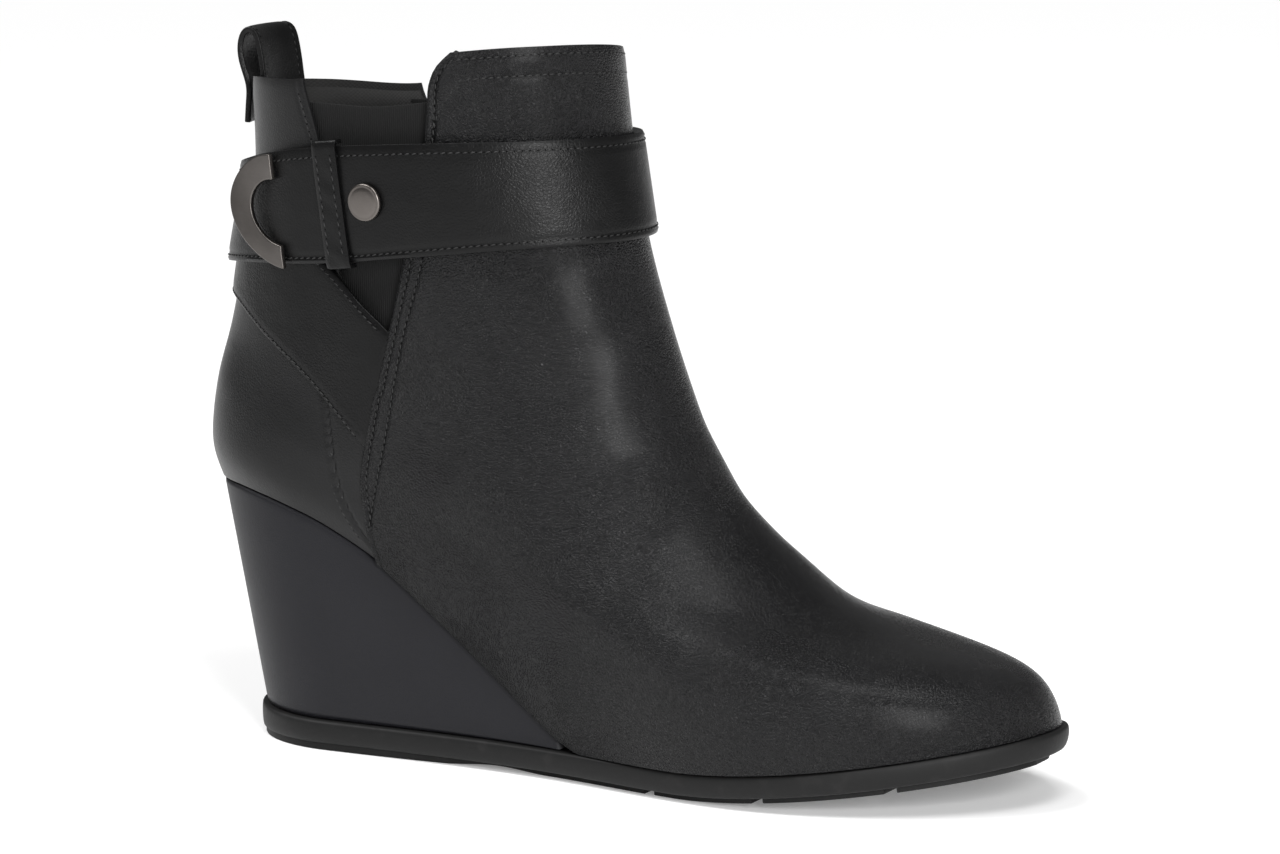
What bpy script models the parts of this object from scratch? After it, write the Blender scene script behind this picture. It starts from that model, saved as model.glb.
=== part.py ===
"""Right wedge ankle boot with side elastics, an ankle strap and a back pull loop.

The toe points to +X and the outer side of the foot faces -Y. The frame built in has its
zero at the rear edge of the outsole on the floor; a parent empty then moves everything so
that the origin is the bottom centre of the whole boot.
"""
import math

import bmesh
import bpy
import numpy as np
from mathutils import Matrix, Vector

# Driving sizes in metres
SOLE_LENGTH = 0.242
HEEL_HEIGHT = 0.0730
BALL_WIDTH = 0.086
WAIST_WIDTH = 0.066
HEEL_WIDTH = 0.062
HEEL_OVERHANG = 0.017
BACK_HEIGHT = 0.186
FRONT_HEIGHT = 0.2008
TOE_SWING = 0.007
TOE_SPRING = 0.0125

# Wall, layers and clearances
WALL = 0.0016
CLEAR = 0.0003
SEAT_GAP = 0.0005
VAMP_STEP = 0.0012
GORE_THICK = 0.0012
BAND_THICK = 0.0015
STRAP_THICK = 0.0023
STRAP_EDGE = 0.0005
THIN_EDGE = 0.0003
COLLAR_DIP = 0.0033
DIP_END = 0.57
DIP_START = 0.8
# The collar is cut higher on the outer side: rise for each metre of half width, near the top
COLLAR_ROLL = 0.11
ROLL_START = 0.90
ROLL_POWER = 1.5

# Outsole
SOLE_TOP_HEEL = 0.0088
SOLE_TOP_FORE = 0.0085
SOLE_BLEND_END = 0.42
SOLE_HEEL_SHARE = 0.97
SOLE_SIDE_SHARE = 0.93
SOLE_TOE_ROUND = 0.322
SOLE_HEEL_ROUND = 0.14
PAD_HEIGHT = 0.0020
PAD_RECESS = 0.0035
PAD_RECESS_HEEL = 0.0006
RECESS_START = 0.20
RECESS_RUN = 0.25
SOLE_RAND = 0.0015
RAND_LOW = 0.12
RAND_MIDDLE = 0.45
RAND_HIGH = 0.88
WAIST_LIFT = 0.0010
WAIST_LIFT_PLACE = 0.36
WAIST_LIFT_RUN = 0.07
EDGE_ROUND = 0.0008
GROOVE_WIDTH = 0.0030
GROOVE_DEPTH = 0.0018
CUTTER_DEPTH = 0.020
CUTTER_WIDTH = 0.120
GROOVE_SHARES = (0.575, 0.715, 0.860)
HEEL_GROOVE_SHARES = (0.085, 0.155)
HEEL_GROOVE_SPAN = 0.6

# Wedge and footbed
WEDGE_INSET = 0.0005
WEDGE_BACK = 0.0012
WEDGE_END = 0.462
INSOLE_INSET = 0.0005
INSOLE_TAPER = 0.0011
INSOLE_RISE = 0.020

# Hardware and loop
SNAP_DIAMETER = 0.0105
SNAP_THICK = 0.0017
RING_OUTER = 0.0158
RING_INNER = 0.0092
RING_THICK = 0.0016
KEEPER_THICK = 0.0013
KEEPER_OVER_TOP = 0.0018
KEEPER_OVER_BOTTOM = 0.0014
LOOP_WIDTH = 0.021
LOOP_THICK = 0.0017
LOOP_BEND = 0.032
LOOP_RISE = 0.0150
LOOP_DEPTH = 0.0068
LOOP_STAND = 0.0004

# Sections of the last from the seat line (0) to the collar (1). Back and front place the two
# ends of a section: x as a share of the heel's overhang and of the sole's length, rise as a
# share of the height up to the collar. Widths are shares of the heel, waist and ball widths,
# and the last two columns are the rounded ends as shares of the section's length.
#  back_x  back_rise  front_x  front_rise  heel   waist  ball   toe    heel_end
SECTIONS = (
    (-0.85, 0.000, 0.998, 0.000, 0.90, 0.86, 0.950, 0.30, 0.160),
    (-0.98, 0.075, 0.989, 0.034, 0.98, 0.95, 0.980, 0.31, 0.160),
    (-0.98, 0.150, 0.957, 0.076, 1.00, 1.00, 0.970, 0.34, 0.170),
    (-0.92, 0.220, 0.876, 0.102, 1.00, 1.02, 0.920, 0.40, 0.190),
    (-0.82, 0.290, 0.764, 0.146, 0.98, 1.02, 0.860, 0.47, 0.210),
    (-0.66, 0.370, 0.645, 0.262, 0.95, 1.00, 0.810, 0.50, 0.250),
    (-0.48, 0.460, 0.568, 0.406, 0.94, 0.99, 0.780, 0.50, 0.270),
    (-0.32, 0.580, 0.520, 0.565, 0.94, 0.99, 0.780, 0.50, 0.280),
    (-0.06, 0.760, 0.480, 0.750, 0.97, 1.02, 0.800, 0.50, 0.285),
    (-0.055, 1.000, 0.4545, 1.000, 1.02, 1.06, 0.830, 0.50, 0.290),
)
TOE_WIDTH_SHARE = 0.96
HEEL_PLACE = 0.14
WAIST_PLACE = 0.42
BALL_PLACE_OUTER = 0.66
BALL_PLACE_INNER = 0.71
TOE_END_OUTER = 1.12
TOE_END_INNER = 0.92
TOE_END_LIMIT = 0.52
HEEL_FULLNESS = 2.15
TOE_FULLNESS = 2.25
SEAT_FADE = 0.62
SEAT_FADE_POWER = 1.3
SWING_START = 0.55
SWING_POWER = 1.5
SPRING_START = 0.612
SPRING_POWER = 1.5

# The upper's lower edge: x as a share of the sole's length, rise above the outsole's top as a
# share of its rise at the heel
SEAT_LINE = (
    (-0.070, 1.000), (0.000, 0.995), (0.041, 0.975), (0.103, 0.913), (0.174, 0.792),
    (0.219, 0.692), (0.273, 0.537), (0.347, 0.325), (0.405, 0.165), (0.455, 0.045),
    (0.490, 0.000), (1.020, 0.000),
)
# The footbed's height above that line, as a share of the insole's greatest rise
FOOTBED_LINE = (
    (-0.070, 0.15), (0.040, 0.17), (0.124, 0.40), (0.186, 0.60), (0.273, 0.98),
    (0.347, 1.00), (0.405, 0.98), (0.463, 0.92), (0.517, 0.62), (0.579, 0.30),
    (0.661, 0.16), (1.020, 0.15),
)
# Lines on the side of the boot: x as a share of the sole's length, z as a share of the back's top
VAMP_EDGE = (
    (0.206, 0.300), (0.199, 0.360), (0.1965, 0.420), (0.205, 0.486), (0.237, 0.655),
    (0.259, 0.763), (0.278, 0.868), (0.2900, 0.960), (0.2925, 1.020), (0.297, 1.090),
)
STRIP_EDGE = (
    (0.196, 0.570), (0.182, 0.633), (0.166, 0.753), (0.147, 0.912), (0.137, 0.955),
    (0.125, 1.000), (0.117, 1.100),
)
BAND_TOP = (
    (-0.045, 0.842), (0.021, 0.836), (0.062, 0.820), (0.112, 0.788), (0.162, 0.742),
    (0.200, 0.697), (0.244, 0.648),
)
BAND_BOTTOM = (
    (-0.045, 0.682), (0.000, 0.672), (0.061, 0.628), (0.125, 0.570), (0.188, 0.493),
    (0.217, 0.458),
)
STRAP_TOP = (
    (-0.030, 0.858), (0.000, 0.876), (0.041, 0.894), (0.083, 0.908), (0.178, 0.925),
    (0.281, 0.936), (0.372, 0.942), (0.463, 0.946), (0.520, 0.948),
)
STRAP_BOTTOM = (
    (-0.045, 0.710), (0.000, 0.728), (0.041, 0.737), (0.083, 0.743), (0.157, 0.752),
    (0.281, 0.773), (0.372, 0.786), (0.434, 0.791), (0.500, 0.794),
)
# The elastic's top edge and how far the elastic reaches behind the cut-out's sides
GORE_TOP = ((0.080, 0.973), (0.126, 0.974), (0.202, 0.975), (0.294, 0.989), (0.340, 0.993))
GORE_TOP_BACK = 0.12
GORE_TOP_FRONT = 0.30
GORE_LAP = 0.0040
GORE_FOOT = 0.540
CUT_FOOT = 0.560
CUT_AHEAD = 0.0006
CUT_CORNER = 0.0125
CUT_CORNER_START = 1.004
CUT_APEX = 0.0040
CUT_OVER = 1.08
CUT_STEPS = 12
# The pull loop's middle line: x as a share of its depth, z as a share of its rise above the collar
LOOP_LINE = (
    (-0.20, -0.78), (-0.14, -0.40), (-0.14, -0.06), (-0.40, 0.30), (-0.52, 0.62), (-0.38, 0.88),
    (-0.05, 0.98), (0.28, 0.89), (0.47, 0.64), (0.60, 0.32), (0.68, 0.05), (0.75, -0.26),
    (0.76, -0.90),
)
SNAP_PLACE = (0.2240, 0.852)
RING_PLACE = (0.1033, 0.824)
RING_LEAN = 6.6
# The stiff ring stands off the strap's curve towards its rear
RING_STAND = 0.0040
KEEPER_LEFT = ((0.1525, 0.925), (0.1690, 0.750))
KEEPER_WIDTH = 0.0080
KEEPER_START = 0.15

# Grid counts
EDGE_SHARE = 0.46
REAR_STEPS = 12
FRONT_STEPS = 15
ROW_STEPS = 25
STEP_RUN = 0.012
SOLE_STEPS = 26
NORMAL_STEP = 0.002


def natural_curve(keys, values):
    """Smooth curve through the rows of a table, as a function of the key."""
    x = np.asarray(keys, float)
    y = np.asarray(values, float)
    h = np.diff(x)
    count = len(x)
    matrix = np.zeros((count, count))
    right = np.zeros(y.shape)
    matrix[0, 0] = 1.0
    matrix[-1, -1] = 1.0
    for i in range(1, count - 1):
        matrix[i, i - 1] = h[i - 1]
        matrix[i, i] = 2.0 * (h[i - 1] + h[i])
        matrix[i, i + 1] = h[i]
        right[i] = 6.0 * ((y[i + 1] - y[i]) / h[i] - (y[i] - y[i - 1]) / h[i - 1])
    bend = np.linalg.solve(matrix, right)

    def at(q):
        q = np.clip(np.asarray(q, float), x[0], x[-1])
        k = np.clip(np.searchsorted(x, q) - 1, 0, count - 2)
        width = h[k]
        a = (x[k + 1] - q) / width
        b = (q - x[k]) / width
        if y.ndim > 1:
            a = a[..., None]
            b = b[..., None]
            width = width[..., None]
        curve = ((a ** 3 - a) * bend[k] + (b ** 3 - b) * bend[k + 1]) * width ** 2 / 6.0
        return a * y[k] + b * y[k + 1] + curve
    return at


def even_curve(rows, key=0, value=1):
    """Curve through table rows that never swings past its neighbours."""
    table = sorted((row[key], row[value]) for row in rows)
    x = np.array([row[0] for row in table])
    y = np.array([row[1] for row in table])
    slope = np.diff(y) / np.diff(x)
    lean = np.zeros(len(x))
    lean[0] = slope[0]
    lean[-1] = slope[-1]
    for i in range(1, len(x) - 1):
        if slope[i - 1] * slope[i] > 0.0:
            lean[i] = 2.0 * slope[i - 1] * slope[i] / (slope[i - 1] + slope[i])

    def at(q):
        q = np.clip(np.asarray(q, float), x[0], x[-1])
        k = np.clip(np.searchsorted(x, q) - 1, 0, len(x) - 2)
        width = x[k + 1] - x[k]
        s = (q - x[k]) / width
        start = (1.0 + 2.0 * s) * (1.0 - s) ** 2 * y[k] + s * (1.0 - s) ** 2 * width * lean[k]
        end = s * s * (3.0 - 2.0 * s) * y[k + 1] + s * s * (s - 1.0) * width * lean[k + 1]
        return start + end
    return at


section_at = natural_curve(np.linspace(0.0, 1.0, len(SECTIONS)), SECTIONS)
seat_rise = even_curve(SEAT_LINE)
footbed_rise = even_curve(FOOTBED_LINE)
vamp_edge_x = even_curve(VAMP_EDGE, 1, 0)
strip_edge_x = even_curve(STRIP_EDGE, 1, 0)
band_top_z = even_curve(BAND_TOP)
band_bottom_z = even_curve(BAND_BOTTOM)
strap_top_z = even_curve(STRAP_TOP)
strap_bottom_z = even_curve(STRAP_BOTTOM)
gore_top_z = even_curve(GORE_TOP)


def spring(x):
    share = np.clip((np.asarray(x) / SOLE_LENGTH - SPRING_START) / (1.0 - SPRING_START), 0.0, 2.0)
    return TOE_SPRING * share ** SPRING_POWER


def swing(x):
    share = np.clip((np.asarray(x) / SOLE_LENGTH - SWING_START) / (1.0 - SWING_START), 0.0, 2.0)
    return TOE_SWING * share ** SWING_POWER


def sole_top(x):
    blend = np.clip(np.asarray(x) / SOLE_LENGTH / SOLE_BLEND_END, 0.0, 1.0)
    return SOLE_TOP_HEEL + (SOLE_TOP_FORE - SOLE_TOP_HEEL) * blend + spring(x)


def seat_z(x):
    """Height of the upper's lower edge over a place along the sole."""
    low = sole_top(x) + CLEAR
    lift = HEEL_HEIGHT - SOLE_TOP_HEEL - CLEAR
    return low + lift * seat_rise(np.asarray(x) / SOLE_LENGTH)


def half_width(r, heel, waist, ball, side):
    """Half width of a section along its length r, from its heel, waist and ball widths."""
    ball_place = BALL_PLACE_OUTER if side < 0 else BALL_PLACE_INNER
    places = np.array([0.0, HEEL_PLACE, WAIST_PLACE, ball_place, 1.0])
    heel = np.asarray(heel, float)
    widths = np.stack(np.broadcast_arrays(heel, heel, waist, ball, ball * TOE_WIDTH_SHARE), -1) / 2.0
    h = np.diff(places)
    count = len(places)
    matrix = np.zeros((count, count))
    matrix[0, 0] = matrix[-1, -1] = 1.0
    for i in range(1, count - 1):
        matrix[i, i - 1:i + 2] = h[i - 1], 2.0 * (h[i - 1] + h[i]), h[i]
    right = np.zeros(widths.shape)
    rise = np.diff(widths, axis=-1) / h
    right[..., 1:-1] = 6.0 * np.diff(rise, axis=-1)
    bend = right @ np.linalg.inv(matrix).T
    r = np.clip(np.asarray(r, float), 0.0, 1.0)
    k = np.clip(np.searchsorted(places, r) - 1, 0, count - 2)
    shape = np.broadcast_shapes(r.shape, widths.shape[:-1])
    k = np.broadcast_to(k, shape)
    r = np.broadcast_to(r, shape)
    widths = np.broadcast_to(widths, shape + (count,))
    bend = np.broadcast_to(bend, shape + (count,))

    def pick(table, index):
        return np.take_along_axis(table, index[..., None], -1)[..., 0]
    width = h[k]
    a = (places[k + 1] - r) / width
    b = 1.0 - a
    curve = (a ** 3 - a) * pick(bend, k) + (b ** 3 - b) * pick(bend, k + 1)
    return a * pick(widths, k) + b * pick(widths, k + 1) + curve * width ** 2 / 6.0


def round_end(share, fullness):
    return np.sqrt(np.clip(1.0 - np.clip(share, 0.0, 1.0) ** fullness, 0.0, 1.0))


def rounding(r, toe, heel_end, side):
    reach = np.minimum(toe * (TOE_END_OUTER if side < 0 else TOE_END_INNER), TOE_END_LIMIT)
    back = round_end(1.0 - r / heel_end, HEEL_FULLNESS)
    front = round_end(1.0 - (1.0 - r) / reach, TOE_FULLNESS)
    return back * front


def last_side(t, r):
    """Side view of the last: x and z of the place r along section t."""
    row = section_at(t)
    x_back = row[..., 0] * HEEL_OVERHANG
    x_front = row[..., 2] * SOLE_LENGTH
    x_seat_back = SECTIONS[0][0] * HEEL_OVERHANG
    x_seat_front = SECTIONS[0][2] * SOLE_LENGTH
    seat_back = seat_z(x_seat_back)
    seat_front = seat_z(x_seat_front)
    z_back = seat_back + row[..., 1] * (BACK_HEIGHT - seat_back)
    z_front = seat_front + row[..., 3] * (FRONT_HEIGHT - seat_front)
    x = x_back + (x_front - x_back) * r
    z = z_back + (z_front - z_back) * r
    chord = seat_back + (seat_front - seat_back) * r
    fade = np.clip(1.0 - t / SEAT_FADE, 0.0, 1.0) ** SEAT_FADE_POWER
    z = z + fade * (seat_z(x_seat_back + (x_seat_front - x_seat_back) * r) - chord)
    dip = np.sin(math.pi * np.clip(r / DIP_END, 0.0, 1.0)) ** 2
    z = z - COLLAR_DIP * dip * np.clip((t - DIP_START) / (1.0 - DIP_START), 0.0, 1.0) ** 2
    return x, z, row


def last_point(t, a):
    """Point of the last on section t. The turn a runs from the back (0) along the outer side to
    the toe (1) and along the inner side to the back again (2)."""
    t = np.asarray(t, float)
    a = np.mod(np.asarray(a, float), 2.0)
    t, a = np.broadcast_arrays(t, a)
    v = np.where(a <= 1.0, a, 2.0 - a)
    r = 0.5 - 0.5 * np.cos(math.pi * v)
    x, z, row = last_side(t, r)
    y = np.zeros(r.shape)
    for side in (-1, 1):
        width = half_width(r, row[..., 4] * HEEL_WIDTH, row[..., 5] * WAIST_WIDTH,
                           row[..., 6] * BALL_WIDTH, side)
        y_side = side * width * rounding(r, row[..., 7], row[..., 8], side)
        y = np.where((a <= 1.0) == (side < 0), y_side, y)
    roll = COLLAR_ROLL * np.clip((t - ROLL_START) / (1.0 - ROLL_START), 0.0, 1.0) ** ROLL_POWER
    return np.stack([x, y + swing(x), z - roll * y], -1)


def skin(t, a, offset=0.0):
    """Point of the last moved out along its own normal."""
    t = np.asarray(t, float)
    a = np.asarray(a, float)
    low = np.clip(t - NORMAL_STEP, 0.0, 1.0)
    high = np.clip(t + NORMAL_STEP, 0.0, 1.0)
    up = last_point(high, a) - last_point(low, a)
    along = last_point(t, a + NORMAL_STEP) - last_point(t, a - NORMAL_STEP)
    normal = np.cross(along, up)
    normal /= np.linalg.norm(normal, axis=-1, keepdims=True)
    return last_point(t, a) + normal * np.asarray(offset)[..., None]


def solve(function, low, high):
    """Root of a rising function by halving."""
    for _ in range(36):
        middle = 0.5 * (low + high)
        if function(middle) > 0.0:
            high = middle
        else:
            low = middle
    return 0.5 * (low + high)


def share_of(t, x):
    """Place r of section t that has the given x."""
    row = section_at(t)
    x_back = row[0] * HEEL_OVERHANG
    x_front = row[2] * SOLE_LENGTH
    return min(max((x - x_back) / (x_front - x_back), 0.0), 1.0)


def turn_of(r):
    return math.acos(1.0 - 2.0 * r) / math.pi


def place(x, z):
    """Section and turn of the outer side's point seen at x and z."""
    t = solve(lambda s: float(last_side(np.float64(s), share_of(s, x))[1]) - z, 0.0, 1.0)
    return t, turn_of(share_of(t, x))


def edge_turn(t):
    """Turn at which section t meets the vamp's rear edge."""
    def ahead(r):
        x, z, _ = last_side(np.float64(t), r)
        return float(x - SOLE_LENGTH * vamp_edge_x(z / BACK_HEIGHT))
    return turn_of(solve(ahead, 0.02, 0.95))


EDGE_ROWS = 41
EDGE_TABLE = np.array([edge_turn(t) for t in np.linspace(0.0, 1.0, EDGE_ROWS)])


def edge_at(t):
    return np.interp(t, np.linspace(0.0, 1.0, EDGE_ROWS), EDGE_TABLE)


def turn_at(t, u):
    """Turn of column share u; the vamp's edge lies at EDGE_SHARE on every section."""
    edge = edge_at(t)
    rear = edge * u / EDGE_SHARE
    front = edge + (1.0 - edge) * (u - EDGE_SHARE) / (1.0 - EDGE_SHARE)
    return np.where(u < EDGE_SHARE, rear, front)


def column_shares():
    rear = np.linspace(0.0, EDGE_SHARE - STEP_RUN, REAR_STEPS)
    front = np.linspace(EDGE_SHARE, 1.0, FRONT_STEPS)
    return np.concatenate([rear, front])


COLUMNS = column_shares()
# The whole turn: outer side to the toe, then the inner side back, without the two doubled ends
TURN_SIGN = np.concatenate([np.ones(len(COLUMNS)), -np.ones(len(COLUMNS) - 2)])
TURN_COLUMNS = np.concatenate([COLUMNS, COLUMNS[-2:0:-1]])


def full_turn(t, u, sign):
    v = turn_at(t, u)
    return np.where(sign > 0, v, 2.0 - v)


def vamp_offset(u):
    ahead = np.clip((u - EDGE_SHARE) / (1.0 - EDGE_SHARE), 0.0, 1.0)
    return np.where(u < EDGE_SHARE, 0.0, VAMP_STEP * (1.0 - ahead) ** 2)


def section_on_line(u, line_z):
    """Section on which column u meets a line drawn on the side of the boot."""
    def above(t):
        v = float(turn_at(t, np.float64(u)))
        r = 0.5 - 0.5 * math.cos(math.pi * v)
        x, z, _ = last_side(np.float64(t), r)
        return float(z - BACK_HEIGHT * line_z(x / SOLE_LENGTH))
    return solve(above, 0.0, 1.0)


# Scene and materials
for leftover in list(bpy.data.objects):
    bpy.data.objects.remove(leftover)
boot = bpy.data.collections.new("wedge_ankle_boot")
bpy.context.scene.collection.children.link(boot)
cutters = bpy.data.collections.new("cutters")
bpy.context.scene.collection.children.link(cutters)
cutters.hide_render = True
root = bpy.data.objects.new("boot_origin", None)
boot.objects.link(root)


def material(name, colour, roughness, metallic=0.0):
    look = bpy.data.materials.new(name)
    look.use_nodes = True
    shader = look.node_tree.nodes["Principled BSDF"]
    shader.inputs["Base Color"].default_value = (*colour, 1.0)
    shader.inputs["Roughness"].default_value = roughness
    shader.inputs["Metallic"].default_value = metallic
    return look


rubber = material("rubber", (0.020, 0.020, 0.021), 0.60)
wedge_leather = material("wedge_leather", (0.030, 0.030, 0.034), 0.48)
upper_leather = material("upper_leather", (0.024, 0.024, 0.025), 0.35)
strap_leather = material("strap_leather", (0.022, 0.022, 0.023), 0.42)
elastic = material("elastic", (0.012, 0.012, 0.013), 0.85)
footbed_leather = material("footbed_leather", (0.055, 0.050, 0.046), 0.70)
gunmetal = material("gunmetal", (0.26, 0.24, 0.22), 0.28, 1.0)

SMOOTH_ANGLE = math.radians(38.0)


def finish(name, bm, look, collection=boot):
    bmesh.ops.recalc_face_normals(bm, faces=bm.faces)
    mesh = bpy.data.meshes.new(name)
    bm.to_mesh(mesh)
    bm.free()
    mesh.shade_smooth()
    mesh.set_sharp_from_angle(angle=SMOOTH_ANGLE)
    item = bpy.data.objects.new(name, mesh)
    collection.objects.link(item)
    if look is not None:
        mesh.materials.append(look)
        item.parent = root
    return item


def add_grid(bm, grid):
    return [[bm.verts.new(point) for point in row] for row in grid]


def strip_faces(bm, first, second, closed):
    count = len(first)
    last = count if closed else count - 1
    for i in range(last):
        j = (i + 1) % count
        bm.faces.new((first[i], first[j], second[j], second[i]))


def ladder_cap(bm, loop):
    """Close a loop that starts at the heel end by rungs from side to side."""
    half = len(loop) // 2
    bm.faces.new((loop[0], loop[1], loop[-1]))
    for i in range(1, half - 1):
        bm.faces.new((loop[i], loop[i + 1], loop[-i - 1], loop[-i]))
    bm.faces.new((loop[half - 1], loop[half], loop[half + 1]))


def loft(name, loops, look):
    bm = bmesh.new()
    rows = add_grid(bm, loops)
    for first, second in zip(rows, rows[1:]):
        strip_faces(bm, first, second, True)
    ladder_cap(bm, rows[0])
    ladder_cap(bm, rows[-1])
    return finish(name, bm, look)


def slab(name, inner, outer, look, closed=False):
    """Solid between two grids of points with the same rows and columns."""
    bm = bmesh.new()
    low = add_grid(bm, inner)
    high = add_grid(bm, outer)
    for i in range(len(low) - 1):
        strip_faces(bm, low[i], low[i + 1], closed)
        strip_faces(bm, high[i], high[i + 1], closed)
    strip_faces(bm, low[0], high[0], closed)
    strip_faces(bm, low[-1], high[-1], closed)
    if not closed:
        strip_faces(bm, [row[0] for row in low], [row[0] for row in high], False)
        strip_faces(bm, [row[-1] for row in low], [row[-1] for row in high], False)
    return finish(name, bm, look)


def cut(target, cutter):
    change = target.modifiers.new("cut", "BOOLEAN")
    change.operation = "DIFFERENCE"
    change.object = cutter
    change.solver = "EXACT"


def bevel(target, width, segments=2, angle=50.0):
    change = target.modifiers.new("soft_edges", "BEVEL")
    change.width = width
    change.segments = segments
    change.limit_method = "ANGLE"
    change.angle_limit = math.radians(angle)


# Outsole: loops from the tread pad up to the band's top edge
def sole_half_width(r, side):
    return half_width(r, HEEL_WIDTH * SOLE_HEEL_SHARE, WAIST_WIDTH * SOLE_SIDE_SHARE,
                      BALL_WIDTH * SOLE_SIDE_SHARE, side)


def sole_loop(grow, height, recess_fore=0.0, recess_heel=0.0):
    v = np.linspace(0.0, 1.0, SOLE_STEPS + 1)
    r = 0.5 - 0.5 * np.cos(math.pi * v)
    fore = np.clip((r - RECESS_START) / RECESS_RUN, 0.0, 1.0)
    fore = fore * fore * (3.0 - 2.0 * fore)
    inset = recess_heel + (recess_fore - recess_heel) * fore
    x_back = PAD_RECESS_HEEL if recess_heel > 0.0 else 0.0
    x_front = SOLE_LENGTH + grow - recess_fore
    x = x_back + (x_front - x_back) * r
    sides = []
    for side in (-1, 1):
        ends = rounding(r, SOLE_TOE_ROUND, SOLE_HEEL_ROUND, side)
        y = side * (sole_half_width(r, side) + grow - inset) * ends + swing(x)
        sides.append(np.stack([x, y, height(x)], -1))
    return np.concatenate([sides[0], sides[1][-2:0:-1]])


def pad_bottom(x):
    hump = np.clip(1.0 - np.abs(x / SOLE_LENGTH - WAIST_LIFT_PLACE) / WAIST_LIFT_RUN, 0.0, 1.0)
    return spring(x) + WAIST_LIFT * hump * hump * (3.0 - 2.0 * hump)


def band_bottom(x):
    return spring(x) + PAD_HEIGHT


def band_at(share):
    return lambda x: band_bottom(x) + share * (sole_top(x) - band_bottom(x))


outsole = loft("outsole", [
    sole_loop(0.0, pad_bottom, PAD_RECESS, PAD_RECESS_HEEL),
    sole_loop(0.0, band_bottom, PAD_RECESS, PAD_RECESS_HEEL),
    sole_loop(-0.4 * EDGE_ROUND, band_bottom),
    sole_loop(0.6 * EDGE_ROUND, band_at(RAND_LOW)),
    sole_loop(SOLE_RAND, band_at(RAND_MIDDLE)),
    sole_loop(SOLE_RAND, band_at(RAND_HIGH)),
    sole_loop(SOLE_RAND - EDGE_ROUND, sole_top),
], rubber)


def box(name, centre, size):
    bm = bmesh.new()
    bmesh.ops.create_cube(bm, size=1.0, matrix=Matrix.Diagonal((*size, 1.0)))
    item = finish(name, bm, None, cutters)
    item.location = centre
    item.parent = root
    item.display_type = "WIRE"
    return item


for number, share in enumerate(GROOVE_SHARES):
    x = share * SOLE_LENGTH
    floor = float(spring(x))
    middle = floor + GROOVE_DEPTH - CUTTER_DEPTH / 2.0
    groove = box("groove_%d" % (number + 1), (x, float(swing(x)), middle),
                 (GROOVE_WIDTH, CUTTER_WIDTH, CUTTER_DEPTH))
    cut(outsole, groove)
for number, share in enumerate(HEEL_GROOVE_SHARES):
    x = share * SOLE_LENGTH
    groove = box("heel_groove_%d" % (number + 1), (x, 0.0, GROOVE_DEPTH - CUTTER_DEPTH / 2.0),
                 (GROOVE_WIDTH, HEEL_GROOVE_SPAN * HEEL_WIDTH, CUTTER_DEPTH))
    cut(outsole, groove)

# Upper: wall between the skin and its inner face, with the vamp's step in its outer face
rows = np.linspace(0.0, 1.0, ROW_STEPS + 1)
grid_t = rows[:, None] * np.ones(len(TURN_COLUMNS))
grid_a = full_turn(grid_t, TURN_COLUMNS[None, :], TURN_SIGN[None, :])
outer = skin(grid_t, grid_a, np.broadcast_to(vamp_offset(TURN_COLUMNS), grid_t.shape))
inner = skin(grid_t, grid_a, np.full(grid_t.shape, -WALL))
inner[0, :, 2] = outer[0, :, 2] = seat_z(outer[0, :, 0])
upper = slab("upper", inner, outer, upper_leather, closed=True)


def cut_profile():
    """Outline of the elastic's cut-out in the side view, open above the collar."""
    foot = CUT_FOOT * BACK_HEIGHT
    top = CUT_OVER * FRONT_HEIGHT
    left = [(SOLE_LENGTH * float(strip_edge_x(z / BACK_HEIGHT)), z)
            for z in np.linspace(foot + CUT_APEX, BACK_HEIGHT + CUT_APEX, CUT_STEPS)]
    corner = CUT_CORNER_START * BACK_HEIGHT
    right = [(SOLE_LENGTH * float(vamp_edge_x(z / BACK_HEIGHT)) + CUT_AHEAD, z)
             for z in np.linspace(foot + CUT_APEX, corner, CUT_STEPS)]
    x_end, z_end = right[-1]
    for step in range(1, 6):
        angle = 0.5 * math.pi * step / 5.0
        right.append((x_end + CUT_CORNER * (1.0 - math.cos(angle)), z_end + CUT_CORNER * math.sin(angle)))
    apex = (0.5 * (left[0][0] + right[0][0]), foot)
    outline = [(left[-1][0], top)] + left[::-1] + [apex] + right + [(right[-1][0], top)]
    return outline


def prism(name, outline, reach):
    bm = bmesh.new()
    near = [bm.verts.new((x, -reach, z)) for x, z in outline]
    far = [bm.verts.new((x, reach, z)) for x, z in outline]
    strip_faces(bm, near, far, True)
    bm.faces.new(near)
    bm.faces.new(far)
    item = finish(name, bm, None, cutters)
    item.parent = root
    item.display_type = "WIRE"
    return item


cut(upper, prism("gore_cut", cut_profile(), BALL_WIDTH))

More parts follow.
